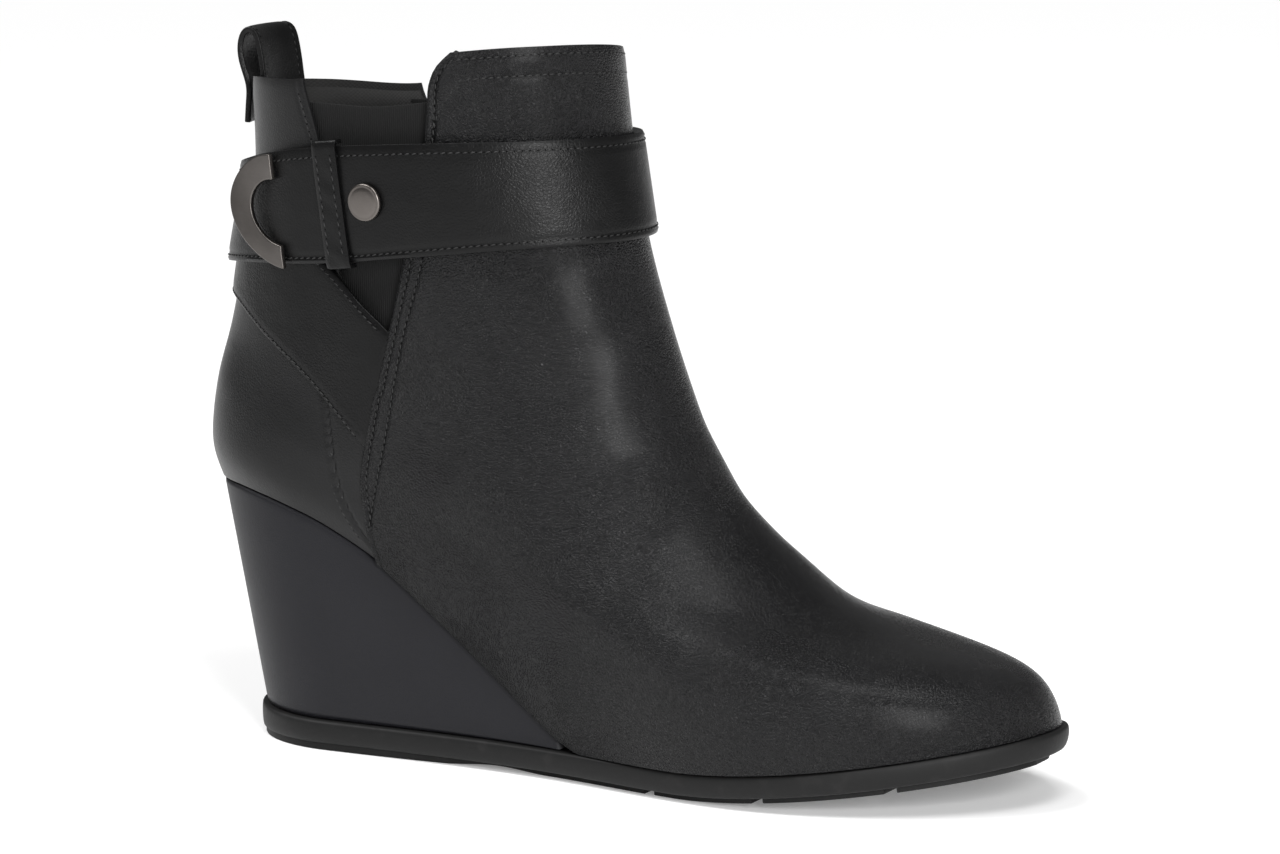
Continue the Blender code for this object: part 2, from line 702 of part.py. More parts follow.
# Wedge: from the outsole's top to just under the upper's lower edge
def seat_loop(inset, height, x_limit=None):
    """Lower outline of the upper, moved in by a distance in plan."""
    v = np.linspace(0.0, 1.0, SOLE_STEPS + 1)
    if x_limit is not None:
        x_back = SECTIONS[0][0] * HEEL_OVERHANG
        x_front = SECTIONS[0][2] * SOLE_LENGTH
        v = v * turn_of((x_limit - x_back) / (x_front - x_back))
    outer_side = last_point(0.0, v)
    inner_side = last_point(0.0, 2.0 - v)
    if x_limit is not None:
        middle = 0.5 * (outer_side[-1] + inner_side[-1])
        outer_side[-1] = middle
    loop = np.concatenate([outer_side, inner_side[-2:0:-1]])
    if x_limit is None:
        run = np.roll(loop, -1, 0) - np.roll(loop, 1, 0)
        side = np.stack([run[:, 1], -run[:, 0]], -1)
        side /= np.linalg.norm(side, axis=1, keepdims=True)
        centre = loop[:, :2].mean(0)
        if ((loop[:, :2] - centre) * side).sum() < 0.0:
            side = -side
        loop[:, :2] -= inset * side
    else:
        loop[:, 1] -= inset * np.sign(loop[:, 1])
        loop[:, 0] += inset * np.clip(1.0 - (loop[:, 0] - loop[0, 0]) / HEEL_WIDTH, 0.0, 1.0)
    loop[:, 2] = height(loop[:, 0])
    return loop


def wedge_floor_loop():
    """The wedge's foot on the outsole, its points matched to those of its top."""
    top = seat_loop(WEDGE_INSET, seat_z, WEDGE_END * SOLE_LENGTH)
    x_back = top[0, 0]
    x_end = WEDGE_END * SOLE_LENGTH
    share = (top[:, 0] - x_back) / (x_end - x_back)
    x = WEDGE_BACK + (x_end - WEDGE_BACK) * share
    r = x / SOLE_LENGTH
    loop = top.copy()
    loop[:, 0] = x
    for side in (-1, 1):
        heel = round_end(1.0 - (x - WEDGE_BACK) / (SOLE_HEEL_ROUND * SOLE_LENGTH), HEEL_FULLNESS)
        y = side * (sole_half_width(r, side) - WEDGE_INSET) * heel
        loop[:, 1] = np.where(np.sign(top[:, 1]) == side, y, loop[:, 1])
    loop[0, 1] = 0.0
    half = len(loop) // 2
    loop[half, 1] = 0.5 * (loop[half - 1, 1] + loop[half + 1, 1])
    loop[:, 2] = sole_top(x) + CLEAR
    return loop


wedge_top = seat_loop(WEDGE_INSET, lambda x: seat_z(x) - SEAT_GAP, WEDGE_END * SOLE_LENGTH)
wedge_foot = wedge_floor_loop()
levels = [wedge_foot]
for share in (0.5, 1.0):
    levels.append(wedge_foot + (wedge_top - wedge_foot) * share)
wedge = loft("wedge", levels, wedge_leather)

# Insole: footbed inside the wall, from the wedge's top up to the foot's own line
insole_inset = WALL + INSOLE_INSET
insole = loft("insole", [
    seat_loop(insole_inset, lambda x: seat_z(x) + CLEAR),
    seat_loop(insole_inset + INSOLE_TAPER,
              lambda x: seat_z(x) + INSOLE_RISE * footbed_rise(x / SOLE_LENGTH)),
], footbed_leather)


# Elastic panels behind the two cut-outs
def gore(name, sign):
    count = 9
    grid = []
    for k in range(count):
        share = k / (count - 1)
        line = []
        for j in range(count):
            across = j / (count - 1)
            z_low = GORE_FOOT * BACK_HEIGHT
            x_share = GORE_TOP_BACK + (GORE_TOP_FRONT - GORE_TOP_BACK) * across
            z_high = BACK_HEIGHT * float(gore_top_z(x_share))
            z = z_low + (z_high - z_low) * share
            left = SOLE_LENGTH * float(strip_edge_x(z / BACK_HEIGHT)) - GORE_LAP
            right = SOLE_LENGTH * float(vamp_edge_x(z / BACK_HEIGHT)) + GORE_LAP
            line.append(place(left + (right - left) * across, z))
        grid.append(line)
    grid = np.array(grid)
    turn = grid[..., 1] if sign > 0 else 2.0 - grid[..., 1]
    shape = turn.shape
    near = skin(grid[..., 0], turn, np.full(shape, -WALL - CLEAR))
    far = skin(grid[..., 0], turn, np.full(shape, -WALL - CLEAR - GORE_THICK))
    return slab(name, far, near, elastic)


gore_lateral = gore("gore_lateral", 1)
gore_medial = gore("gore_medial", -1)


# Bands wrapped round the boot on the upper's own columns
def band_grid(columns, signs, low_line, high_line, steps, offset):
    low = np.array([section_on_line(u, low_line) for u in columns])
    high = np.array([section_on_line(u, high_line) for u in columns])
    share = np.linspace(0.0, 1.0, steps + 1)[:, None]
    t = low[None, :] + (high - low)[None, :] * share
    a = full_turn(t, columns[None, :], signs[None, :])
    return skin(t, a, np.broadcast_to(offset, t.shape))


rear = COLUMNS[:REAR_STEPS]
rear_columns = np.concatenate([rear[:0:-1], rear])
rear_signs = np.concatenate([-np.ones(REAR_STEPS - 1), np.ones(REAR_STEPS)])
band_inner = np.full(len(rear_columns), CLEAR)
heel_strap = slab("heel_strap",
                  band_grid(rear_columns, rear_signs, band_bottom_z, band_top_z, 4, band_inner),
                  band_grid(rear_columns, rear_signs, band_bottom_z, band_top_z, 4,
                            band_inner + BAND_THICK),
                  strap_leather)
bevel(heel_strap, THIN_EDGE, 1)

STRAP_REAR_OFFSET = BAND_THICK + 2.0 * CLEAR
STRAP_FRONT_OFFSET = 0.0005
STRAP_SETTLE = 0.62


def strap_offset(u):
    blend = np.clip((np.asarray(u) - STRAP_SETTLE) / (1.0 - STRAP_SETTLE), 0.0, 1.0)
    blend = blend * blend * (3.0 - 2.0 * blend)
    return STRAP_REAR_OFFSET + (STRAP_FRONT_OFFSET - STRAP_REAR_OFFSET) * blend


strap_inner = strap_offset(TURN_COLUMNS)
ankle_strap = slab("ankle_strap",
                   band_grid(TURN_COLUMNS, TURN_SIGN, strap_bottom_z, strap_top_z, 4, strap_inner),
                   band_grid(TURN_COLUMNS, TURN_SIGN, strap_bottom_z, strap_top_z, 4,
                             strap_inner + STRAP_THICK),
                   strap_leather, closed=True)
bevel(ankle_strap, STRAP_EDGE, 1)
STRAP_FACE = STRAP_REAR_OFFSET + STRAP_THICK

# Keeper: a folded strip over the strap and round its two edges
keeper_left = even_curve(KEEPER_LEFT, 1, 0)


def keeper_line(across):
    """Closed outline of the keeper's section at one place across its width."""
    def edge(line_z):
        x = SOLE_LENGTH * KEEPER_START
        for _ in range(12):
            z = BACK_HEIGHT * float(line_z(x / SOLE_LENGTH))
            x = SOLE_LENGTH * float(keeper_left(z / BACK_HEIGHT)) + across * KEEPER_WIDTH
        return z
    low = edge(strap_bottom_z)
    high = edge(strap_top_z)
    base = STRAP_REAR_OFFSET + CLEAR
    face = STRAP_FACE + CLEAR
    top = face + KEEPER_THICK
    outline = [(low - KEEPER_OVER_BOTTOM, base), (low - KEEPER_OVER_BOTTOM, top)]
    run = np.linspace(low - KEEPER_OVER_BOTTOM, high + KEEPER_OVER_TOP, 6)
    outline += [(z, top) for z in run[1:-1]]
    outline += [(high + KEEPER_OVER_TOP, top), (high + KEEPER_OVER_TOP, base),
                (high + 1.5 * CLEAR, base), (high + 1.5 * CLEAR, face)]
    run = np.linspace(high + 1.5 * CLEAR, low - 1.5 * CLEAR, 6)
    outline += [(z, face) for z in run[1:-1]]
    outline += [(low - 1.5 * CLEAR, face), (low - 1.5 * CLEAR, base)]
    points = []
    for z, offset in outline:
        x = SOLE_LENGTH * float(keeper_left(z / BACK_HEIGHT)) + across * KEEPER_WIDTH
        t, a = place(x, z)
        points.append(skin(t, a, offset))
    return np.array(points)


def keeper():
    bm = bmesh.new()
    lines = add_grid(bm, [keeper_line(across) for across in (0.0, 0.5, 1.0)])
    for first, second in zip(lines, lines[1:]):
        strip_faces(bm, first, second, True)
    for line in (lines[0], lines[-1]):
        # The section is a U: pair its outer run with its inner run
        count = len(line)
        half = count // 2
        for i in range(half - 1):
            bm.faces.new((line[i], line[i + 1], line[count - 2 - i], line[count - 1 - i]))
    return finish("strap_keeper", bm, strap_leather)


strap_keeper = keeper()


# Snap cap on the strap
def frame_at(x, z, offset):
    t, a = place(x, z)
    centre = skin(t, a, offset)
    outward = skin(t, a, offset + 0.001) - centre
    outward = Vector(outward).normalized()
    return Vector(centre), outward


snap_centre, snap_axis = frame_at(SNAP_PLACE[0] * SOLE_LENGTH, SNAP_PLACE[1] * BACK_HEIGHT,
                                  STRAP_FACE + 2.0 * CLEAR)
bm = bmesh.new()
bmesh.ops.create_cone(bm, cap_ends=True, segments=32, radius1=SNAP_DIAMETER / 2.0,
                      radius2=SNAP_DIAMETER / 2.0, depth=SNAP_THICK)
snap_cap = finish("snap_cap", bm, gunmetal)
snap_cap.rotation_euler = snap_axis.to_track_quat("Z", "Y").to_euler()
snap_cap.location = snap_centre + snap_axis * (SNAP_THICK / 2.0)
bevel(snap_cap, STRAP_EDGE)


# Half ring: a flat half ring bent to the strap's face
def walk(t, a, distance, offset):
    """Turn reached from a by walking a distance along section t."""
    steps = 12
    for _ in range(steps):
        ahead = skin(t, a + NORMAL_STEP, offset) - skin(t, a - NORMAL_STEP, offset)
        a = a + distance / steps * 2.0 * NORMAL_STEP / float(np.linalg.norm(ahead))
    return a


def half_ring_grid(offset):
    """One face of the ring: rows from its inner to its outer edge, columns round the half turn."""
    lean = math.radians(RING_LEAN)
    x_centre = RING_PLACE[0] * SOLE_LENGTH
    z_centre = RING_PLACE[1] * BACK_HEIGHT
    grid = []
    for radius in np.linspace(RING_INNER, RING_OUTER, 3):
        line = []
        for angle in np.radians(np.linspace(90.0, 270.0, 25)):
            along = radius * math.cos(angle)
            up = radius * math.sin(angle)
            t, a = place(x_centre - up * math.sin(lean), z_centre + up * math.cos(lean))
            stand = RING_STAND * (along / RING_OUTER) ** 2
            line.append(skin(t, walk(t, a, along, STRAP_FACE), offset + stand))
        grid.append(line)
    return np.array(grid)


half_ring = slab("half_ring", half_ring_grid(STRAP_FACE + 1.5 * CLEAR),
                 half_ring_grid(STRAP_FACE + 1.5 * CLEAR + RING_THICK), gunmetal)
bevel(half_ring, THIN_EDGE, 1)


# Pull loop: a strip folded over the collar's back
def loop_line():
    keys = np.linspace(0.0, 1.0, len(LOOP_LINE))
    curve = natural_curve(keys, np.array(LOOP_LINE))
    line = curve(np.linspace(0.0, 1.0, 33))
    back_wall = SECTIONS[-1][0] * HEEL_OVERHANG
    x_zero = back_wall - CLEAR - LOOP_THICK / 2.0 - LOOP_STAND
    x = x_zero + line[:, 0] * LOOP_DEPTH
    z = BACK_HEIGHT + line[:, 1] * LOOP_RISE
    return np.stack([x, z], -1)


def pull_loop_grids():
    line = loop_line()
    run = np.gradient(line, axis=0)
    run /= np.linalg.norm(run, axis=1, keepdims=True)
    side = np.stack([-run[:, 1], run[:, 0]], -1) * LOOP_THICK / 2.0
    across = np.linspace(-0.5, 0.5, 7) * LOOP_WIDTH
    grids = []
    for edge in (line + side, line - side):
        grid = [[(x + y * y / (2.0 * LOOP_BEND), y, z) for y in across] for x, z in edge]
        grids.append(grid)
    return grids


loop_one, loop_two = pull_loop_grids()
pull_loop = slab("pull_loop", loop_one, loop_two, strap_leather)
bevel(pull_loop, THIN_EDGE, 1)

# Origin at the bottom centre of the whole boot
bpy.context.view_layer.update()
corners = []
for item in boot.objects:
    if item.type == "MESH":
        corners += [item.matrix_world @ Vector(corner) for corner in item.bound_box]
low = [min(corner[axis] for corner in corners) for axis in range(3)]
high = [max(corner[axis] for corner in corners) for axis in range(3)]
root.location = (-0.5 * (low[0] + high[0]), -0.5 * (low[1] + high[1]), -low[2])
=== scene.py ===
import math

import bmesh
import bpy
import numpy as np
from mathutils import Matrix, Vector


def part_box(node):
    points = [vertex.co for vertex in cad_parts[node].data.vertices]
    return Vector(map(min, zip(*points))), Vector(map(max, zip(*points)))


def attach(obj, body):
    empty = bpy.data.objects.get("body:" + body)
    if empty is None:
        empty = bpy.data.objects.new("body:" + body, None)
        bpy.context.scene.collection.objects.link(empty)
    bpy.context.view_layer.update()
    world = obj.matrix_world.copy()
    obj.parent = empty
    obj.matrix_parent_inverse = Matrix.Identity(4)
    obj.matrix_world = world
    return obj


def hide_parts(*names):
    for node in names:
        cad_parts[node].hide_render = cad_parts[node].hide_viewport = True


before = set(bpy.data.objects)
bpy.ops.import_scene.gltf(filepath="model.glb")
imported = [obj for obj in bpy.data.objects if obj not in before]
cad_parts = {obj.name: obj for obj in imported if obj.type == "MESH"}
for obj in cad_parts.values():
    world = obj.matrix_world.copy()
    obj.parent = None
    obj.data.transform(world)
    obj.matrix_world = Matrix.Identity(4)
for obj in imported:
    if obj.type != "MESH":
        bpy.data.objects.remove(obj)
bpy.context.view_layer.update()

# Camera: three quarters from the outer side, low, with a long lens
view = {
    "place": (0.6946, -1.2977, 0.3473),
    "target": (0.0052, -0.0012, 0.0950),
    "lens": 151.3,
}
camera = bpy.data.objects.new("camera", bpy.data.cameras.new("camera"))
bpy.context.scene.collection.objects.link(camera)
camera.data.lens = view["lens"]
camera.data.sensor_width = 36.0
camera.location = view["place"]
lookAlong = Vector(view["target"]) - Vector(view["place"])
camera.rotation_euler = lookAlong.to_track_quat("-Z", "Y").to_euler()
bpy.context.scene.camera = camera
bpy.context.scene.view_settings.view_transform = "Standard"


# Shader maths written as expressions
class Value:
    def __init__(self, finish, socket):
        self.finish = finish
        self.socket = socket

    def maths(self, operation, first, second=0.0):
        settings = {"operation": operation}
        return self.finish.add("ShaderNodeMath", settings, {0: first, 1: second})

    def __add__(self, other):
        return self.maths("ADD", self, other)

    def __sub__(self, other):
        return self.maths("SUBTRACT", self, other)

    def __rsub__(self, other):
        return self.maths("SUBTRACT", other, self)

    def __mul__(self, other):
        return self.maths("MULTIPLY", self, other)

    def __truediv__(self, other):
        return self.maths("DIVIDE", self, other)

    def __pow__(self, other):
        return self.maths("POWER", self, other)

    def sine(self):
        return self.maths("SINE", self)

    def size(self):
        return self.maths("ABSOLUTE", self)

    __radd__ = __add__
    __rmul__ = __mul__


class Finish:
    def __init__(self, name):
        self.material = bpy.data.materials.new(name)
        self.material.use_nodes = True
        self.tree = self.material.node_tree
        self.shader = self.tree.nodes["Principled BSDF"]
        self.place = self.add("ShaderNodeTexCoord", {}, {}, "Object")

    def add(self, kind, settings, inputs, output=0):
        node = self.tree.nodes.new(kind)
        for key, setting in settings.items():
            if key == "stops":
                self.setStops(node.color_ramp, setting)
            else:
                setattr(node, key, setting)
        for key, source in inputs.items():
            if isinstance(source, Value):
                self.tree.links.new(source.socket, node.inputs[key])
            else:
                node.inputs[key].default_value = source
        return Value(self, node.outputs[output])

    def setStops(self, ramp, stops):
        while len(ramp.elements) < len(stops):
            ramp.elements.new(0.5)
        for element, (position, colour) in zip(ramp.elements, stops):
            element.position = position
            element.color = (*colour, 1.0)

    def put(self, name, source):
        if isinstance(source, Value):
            self.tree.links.new(source.socket, self.shader.inputs[name])
        else:
            self.shader.inputs[name].default_value = source

    def stretched(self, scale, place=None):
        inputs = {"Vector": place or self.place, "Scale": scale}
        return self.add("ShaderNodeMapping", {}, inputs)

    def noise(self, scale, detail=2.0, roughness=0.5, place=None):
        inputs = {"Vector": place or self.place, "Scale": scale, "Detail": detail, "Roughness": roughness}
        return self.add("ShaderNodeTexNoise", {}, inputs)

    def cells(self, scale, feature="F1", place=None):
        inputs = {"Vector": place or self.place, "Scale": scale}
        return self.add("ShaderNodeTexVoronoi", {"feature": feature}, inputs)

    def fade(self, source, low, high, start=0.0, end=1.0):
        inputs = {"Value": source, "From Min": low, "From Max": high, "To Min": start, "To Max": end}
        return self.add("ShaderNodeMapRange", {"interpolation_type": "SMOOTHSTEP"}, inputs)

    def mark(self, name):
        return self.add("ShaderNodeAttribute", {"attribute_name": name}, {}, "Fac")

    def blend(self, share, first, second):
        settings = {"data_type": "RGBA"}
        return self.add("ShaderNodeMix", settings, {0: share, 6: (*first, 1.0), 7: (*second, 1.0)}, 2)

    def relief(self, height, depth, below=None):
        inputs = {"Height": height, "Distance": depth, "Strength": 1.0}
        if below is not None:
            inputs["Normal"] = below
        return self.add("ShaderNodeBump", {}, inputs)

    def warped(self, scale, amount):
        wander = self.add("ShaderNodeTexNoise", {}, {"Vector": self.place, "Scale": scale}, "Color")
        pull = {0: wander, 1: (amount, amount, amount)}
        moved = self.add("ShaderNodeVectorMath", {"operation": "MULTIPLY"}, pull)
        return self.add("ShaderNodeVectorMath", {"operation": "ADD"}, {0: self.place, 1: moved})


def leather(name, look):
    finish = Finish(name)
    wandering = finish.warped(260.0, 0.0011)
    pebbles = finish.fade(finish.cells(look["pebbles"], "DISTANCE_TO_EDGE", wandering), 0.0, 0.30)
    small = finish.fade(finish.cells(look["pebbles"] * 2.0, "DISTANCE_TO_EDGE", wandering), 0.0, 0.35)
    threadsOfGrain = finish.noise(look["pebbles"] * 2.3, 3.0, 0.6)
    patches = finish.fade(finish.noise(look["patchScale"], 2.0), 0.38, 0.66)
    grain = (pebbles * 0.7 + small * 0.3) * (0.45 + 0.55 * patches) + 0.25 * threadsOfGrain
    swell = finish.noise(look["swellScale"], 2.0)
    slow = finish.relief(swell, look["swellDepth"])
    finish.put("Normal", finish.relief(grain, look["grainDepth"], slow))
    tone = finish.noise(34.0, 4.0, 0.6) * 0.7 + 0.3 * patches
    finish.put("Base Color", finish.blend(tone, look["dark"], look["light"]))
    rough = look["rough"] + 0.10 * (tone - 0.5) - 0.05 * pebbles
    finish.put("Roughness", rough)
    finish.put("Specular IOR Level", look["shine"])
    finish.put("Coat Weight", look["coat"])
    finish.put("Coat Roughness", look["coatRough"])
    return finish.material


upperLeather = leather("upper_leather", {
    "dark": (0.0032, 0.0032, 0.0035),
    "light": (0.0066, 0.0065, 0.0070),
    "pebbles": 1100.0,
    "patchScale": 26.0,
    "grainDepth": 0.00030,
    "swellScale": 70.0,
    "swellDepth": 0.0004,
    "rough": 0.27,
    "shine": 0.17,
    "coat": 0.05,
    "coatRough": 0.24,
})
quarterLeather = leather("quarter_leather", {
    "dark": (0.0045, 0.0045, 0.0047),
    "light": (0.0085, 0.0085, 0.0088),
    "pebbles": 1100.0,
    "patchScale": 30.0,
    "grainDepth": 0.00006,
    "swellScale": 60.0,
    "swellDepth": 0.0003,
    "rough": 0.38,
    "shine": 0.20,
    "coat": 0.05,
    "coatRough": 0.35,
})
strapLeather = leather("strap_leather", {
    "dark": (0.0026, 0.0026, 0.0027),
    "light": (0.0052, 0.0052, 0.0053),
    "pebbles": 1000.0,
    "patchScale": 40.0,
    "grainDepth": 0.00007,
    "swellScale": 90.0,
    "swellDepth": 0.0003,
    "rough": 0.36,
    "shine": 0.15,
    "coat": 0.05,
    "coatRough": 0.35,
})
wedgeLeather = leather("wedge_leather", {
    "dark": (0.0080, 0.0080, 0.0100),
    "light": (0.0120, 0.0120, 0.0145),
    "pebbles": 1500.0,
    "patchScale": 22.0,
    "grainDepth": 0.00004,
    "swellScale": 45.0,
    "swellDepth": 0.0002,
    "rough": 0.50,
    "shine": 0.22,
    "coat": 0.03,
    "coatRough": 0.40,
})
footbedLeather = leather("footbed_leather", {
    "dark": (0.030, 0.028, 0.026),
    "light": (0.050, 0.046, 0.042),
    "pebbles": 1300.0,
    "patchScale": 24.0,
    "grainDepth": 0.00005,
    "swellScale": 40.0,
    "swellDepth": 0.0002,
    "rough": 0.60,
    "shine": 0.30,
    "coat": 0.0,
    "coatRough": 0.40,
})


def liningCloth():
    finish = Finish("lining_cloth")
    across = finish.add("ShaderNodeSeparateXYZ", {}, {"Vector": finish.place}, 0)
    upward = finish.add("ShaderNodeSeparateXYZ", {}, {"Vector": finish.place}, 2)
    weave = (across * 6200.0).sine() * (upward * 6200.0).sine()
    fuzz = finish.noise(1500.0, 3.0)
    finish.put("Normal", finish.relief(weave * 0.6 + fuzz, 0.00008))
    tone = finish.noise(90.0, 3.0)
    finish.put("Base Color", finish.blend(tone, (0.006, 0.006, 0.006), (0.012, 0.0115, 0.011)))
    finish.put("Roughness", 0.85 + 0.10 * fuzz)
    return finish.material


def elasticCloth():
    finish = Finish("elastic_cloth")
    along = finish.mark("rib")
    ribHeightAndShade = (along * 6.2832).sine() * 0.5 + 0.5
    fuzz = finish.noise(1400.0, 3.0)
    finish.put("Normal", finish.relief(ribHeightAndShade + 0.35 * fuzz, 0.00012))
    # The rib height also sets the colour: painted shade darkens the grooves between ribs, and the crests
    # stay lighter
    finish.put("Base Color", finish.blend(ribHeightAndShade, (0.003, 0.003, 0.003), (0.008, 0.008, 0.008)))
    finish.put("Roughness", 0.80 + 0.12 * fuzz)
    finish.put("Specular IOR Level", 0.25)
    return finish.material


def soleRubber():
    finish = Finish("sole_rubber")
    pores = finish.noise(900.0, 3.0, 0.6)
    soft = finish.noise(40.0, 2.0)
    finish.put("Normal", finish.relief(pores, 0.00005, finish.relief(soft, 0.0002)))
    dust = finish.fade(finish.noise(120.0, 4.0, 0.65), 0.52, 0.75)
    finish.put("Base Color", finish.blend(dust, (0.0055, 0.0055, 0.0055), (0.012, 0.0115, 0.0115)))
    finish.put("Roughness", 0.52 + 0.12 * pores)
    finish.put("Specular IOR Level", 0.24)
    return finish.material


def brushedMetal(name, dark, light, rough):
    finish = Finish(name)
    strokes = finish.noise(1.0, 3.0, 0.6, finish.stretched((320.0, 320.0, 5200.0)))
    cloud = finish.noise(160.0, 3.0, 0.6)
    finish.put("Base Color", finish.blend(cloud * 0.7 + strokes * 0.3, dark, light))
    finish.put("Metallic", 1.0)
    finish.put("Roughness", rough + 0.16 * (strokes - 0.5) + 0.10 * (cloud - 0.5))
    finish.put("Normal", finish.relief(strokes, 0.00002))
    return finish.material


def sewingThread():
    finish = Finish("sewing_thread")
    twist = finish.noise(3200.0, 2.0)
    finish.put("Normal", finish.relief(twist, 0.00006))
    finish.put("Base Color", finish.blend(twist, (0.002, 0.002, 0.002), (0.007, 0.007, 0.007)))
    finish.put("Roughness", 0.48 + 0.1 * twist)
    return finish.material


# Stitch-hole dots: a near-black matte finish, painted shade standing for the shadow inside each hole
def paintedPinholeShade():
    finish = Finish("painted_pinhole_shade")
    shade = finish.noise(900.0, 2.0)
    finish.put("Base Color", finish.blend(shade, (0.001, 0.001, 0.001), (0.004, 0.004, 0.004)))
    finish.put("Roughness", 0.9 + 0.05 * shade)
    finish.put("Specular IOR Level", 0.1)
    return finish.material


liningFinish = liningCloth()
elasticFinish = elasticCloth()
rubberFinish = soleRubber()
ringFinish = brushedMetal("gunmetal_ring", (0.085, 0.078, 0.073), (0.15, 0.138, 0.130), 0.36)
snapFinish = brushedMetal("gunmetal_snap", (0.10, 0.090, 0.083), (0.17, 0.155, 0.145), 0.32)
threadFinish = sewingThread()
holeShadeFinish = paintedPinholeShade()
print("materials ready")

# The last: the foot's form, which every leather piece follows. Lengths are in metres from the
# sole's rear edge on the floor
last = {
    "soleLength": 0.242,
    "heelHeight": 0.0730,
    "ballWidth": 0.086,
    "waistWidth": 0.066,
    "heelWidth": 0.062,
    "heelOverhang": 0.017,
    "backTop": 0.186,
    "frontTop": 0.2008,
    "toeSwing": 0.007,
    "toeSpring": 0.0125,
    "soleTopHeel": 0.0088,
    "soleTopFore": 0.0085,
    "clear": 0.0003,
    "collarDip": 0.0033,
    "collarRoll": 0.11,
    "vampStep": 0.0012,
    "seatFade": 0.62,
    "seatFadePower": 1.3,
    "edgeShare": 0.46,
    "springStart": 0.612,
    "swingStart": 0.55,
    "bendPower": 1.5,
    "soleBlendEnd": 0.42,
    "soleHeelShare": 0.97,
    "soleSideShare": 0.93,
    "soleToeRound": 0.322,
    "soleHeelRound": 0.14,
    "heelPlace": 0.14,
    "waistPlace": 0.42,
    "ballPlaceOuter": 0.66,
    "ballPlaceInner": 0.71,
    "toeWidthShare": 0.96,
    "toeEndOuter": 1.12,
    "toeEndInner": 0.92,
    "toeEndLimit": 0.52,
    "heelFullness": 2.15,
    "toeFullness": 2.25,
    "dipEnd": 0.57,
    "dipStart": 0.8,
    "rollStart": 0.9,
}
# back_x, back_rise, front_x, front_rise, heel, waist, ball, toe, heel_end for each section
sections = (
    (-0.85, 0.000, 0.998, 0.000, 0.90, 0.86, 0.950, 0.30, 0.160),
    (-0.98, 0.075, 0.989, 0.034, 0.98, 0.95, 0.980, 0.31, 0.160),
    (-0.98, 0.150, 0.957, 0.076, 1.00, 1.00, 0.970, 0.34, 0.170),
    (-0.92, 0.220, 0.876, 0.102, 1.00, 1.02, 0.920, 0.40, 0.190),
    (-0.82, 0.290, 0.764, 0.146, 0.98, 1.02, 0.860, 0.47, 0.210),
    (-0.66, 0.370, 0.645, 0.262, 0.95, 1.00, 0.810, 0.50, 0.250),
    (-0.48, 0.460, 0.568, 0.406, 0.94, 0.99, 0.780, 0.50, 0.270),
    (-0.32, 0.580, 0.520, 0.565, 0.94, 0.99, 0.780, 0.50, 0.280),
    (-0.06, 0.760, 0.480, 0.750, 0.97, 1.02, 0.800, 0.50, 0.285),
    (-0.055, 1.000, 0.4545, 1.000, 1.02, 1.06, 0.830, 0.50, 0.290),
)
seatLine = (
    (-0.070, 1.000), (0.000, 0.995), (0.041, 0.975), (0.103, 0.913), (0.174, 0.792),
    (0.219, 0.692), (0.273, 0.537), (0.347, 0.325), (0.405, 0.165), (0.455, 0.045),
    (0.490, 0.000), (1.020, 0.000),
)
footbedLine = (
    (-0.070, 0.15), (0.040, 0.17), (0.124, 0.40), (0.186, 0.60), (0.273, 0.98),
    (0.347, 1.00), (0.405, 0.98), (0.463, 0.92), (0.517, 0.62), (0.579, 0.30),
    (0.661, 0.16), (1.020, 0.15),
)
# Lines on the side of the boot: x as a share of the sole's length, z as a share of the back's top
vampEdge = (
    (0.206, 0.300), (0.199, 0.360), (0.1965, 0.420), (0.205, 0.486), (0.237, 0.655),
    (0.259, 0.763), (0.278, 0.868), (0.2900, 0.960), (0.2925, 1.020), (0.297, 1.090),
)
stripEdge = (
    (0.196, 0.570), (0.182, 0.633), (0.166, 0.753), (0.147, 0.912), (0.137, 0.955),
    (0.125, 1.000), (0.117, 1.100),
)
bandTop = (
    (-0.045, 0.842), (0.021, 0.836), (0.062, 0.820), (0.112, 0.788), (0.162, 0.742),
    (0.200, 0.697), (0.244, 0.648),
)
bandBottom = (
    (-0.045, 0.682), (0.000, 0.672), (0.061, 0.628), (0.125, 0.570), (0.188, 0.493),
    (0.217, 0.458),
)
strapTop = (
    (-0.030, 0.858), (0.000, 0.876), (0.041, 0.894), (0.083, 0.908), (0.178, 0.925),
    (0.281, 0.936), (0.372, 0.942), (0.463, 0.946), (0.520, 0.948),
)
strapBottom = (
    (-0.045, 0.710), (0.000, 0.728), (0.041, 0.737), (0.083, 0.743), (0.157, 0.752),
    (0.281, 0.773), (0.372, 0.786), (0.434, 0.791), (0.500, 0.794),
)
goreTop = ((0.080, 0.973), (0.126, 0.974), (0.202, 0.975), (0.294, 0.989), (0.340, 0.993))


def naturalCurve(keys, values):
    x = np.asarray(keys, float)
    y = np.asarray(values, float)
    h = np.diff(x)
    count = len(x)
    matrix = np.zeros((count, count))
    right = np.zeros(y.shape)
    matrix[0, 0] = matrix[-1, -1] = 1.0
    for i in range(1, count - 1):
        matrix[i, i - 1:i + 2] = h[i - 1], 2.0 * (h[i - 1] + h[i]), h[i]
        right[i] = 6.0 * ((y[i + 1] - y[i]) / h[i] - (y[i] - y[i - 1]) / h[i - 1])
    bend = np.linalg.solve(matrix, right)

    def at(q):
        q = np.clip(np.asarray(q, float), x[0], x[-1])
        k = np.clip(np.searchsorted(x, q) - 1, 0, count - 2)
        width = h[k]
        a = (x[k + 1] - q) / width
        b = 1.0 - a
        if y.ndim > 1:
            a, b, width = a[..., None], b[..., None], width[..., None]
        curve = ((a ** 3 - a) * bend[k] + (b ** 3 - b) * bend[k + 1]) * width ** 2 / 6.0
        return a * y[k] + b * y[k + 1] + curve
    return at


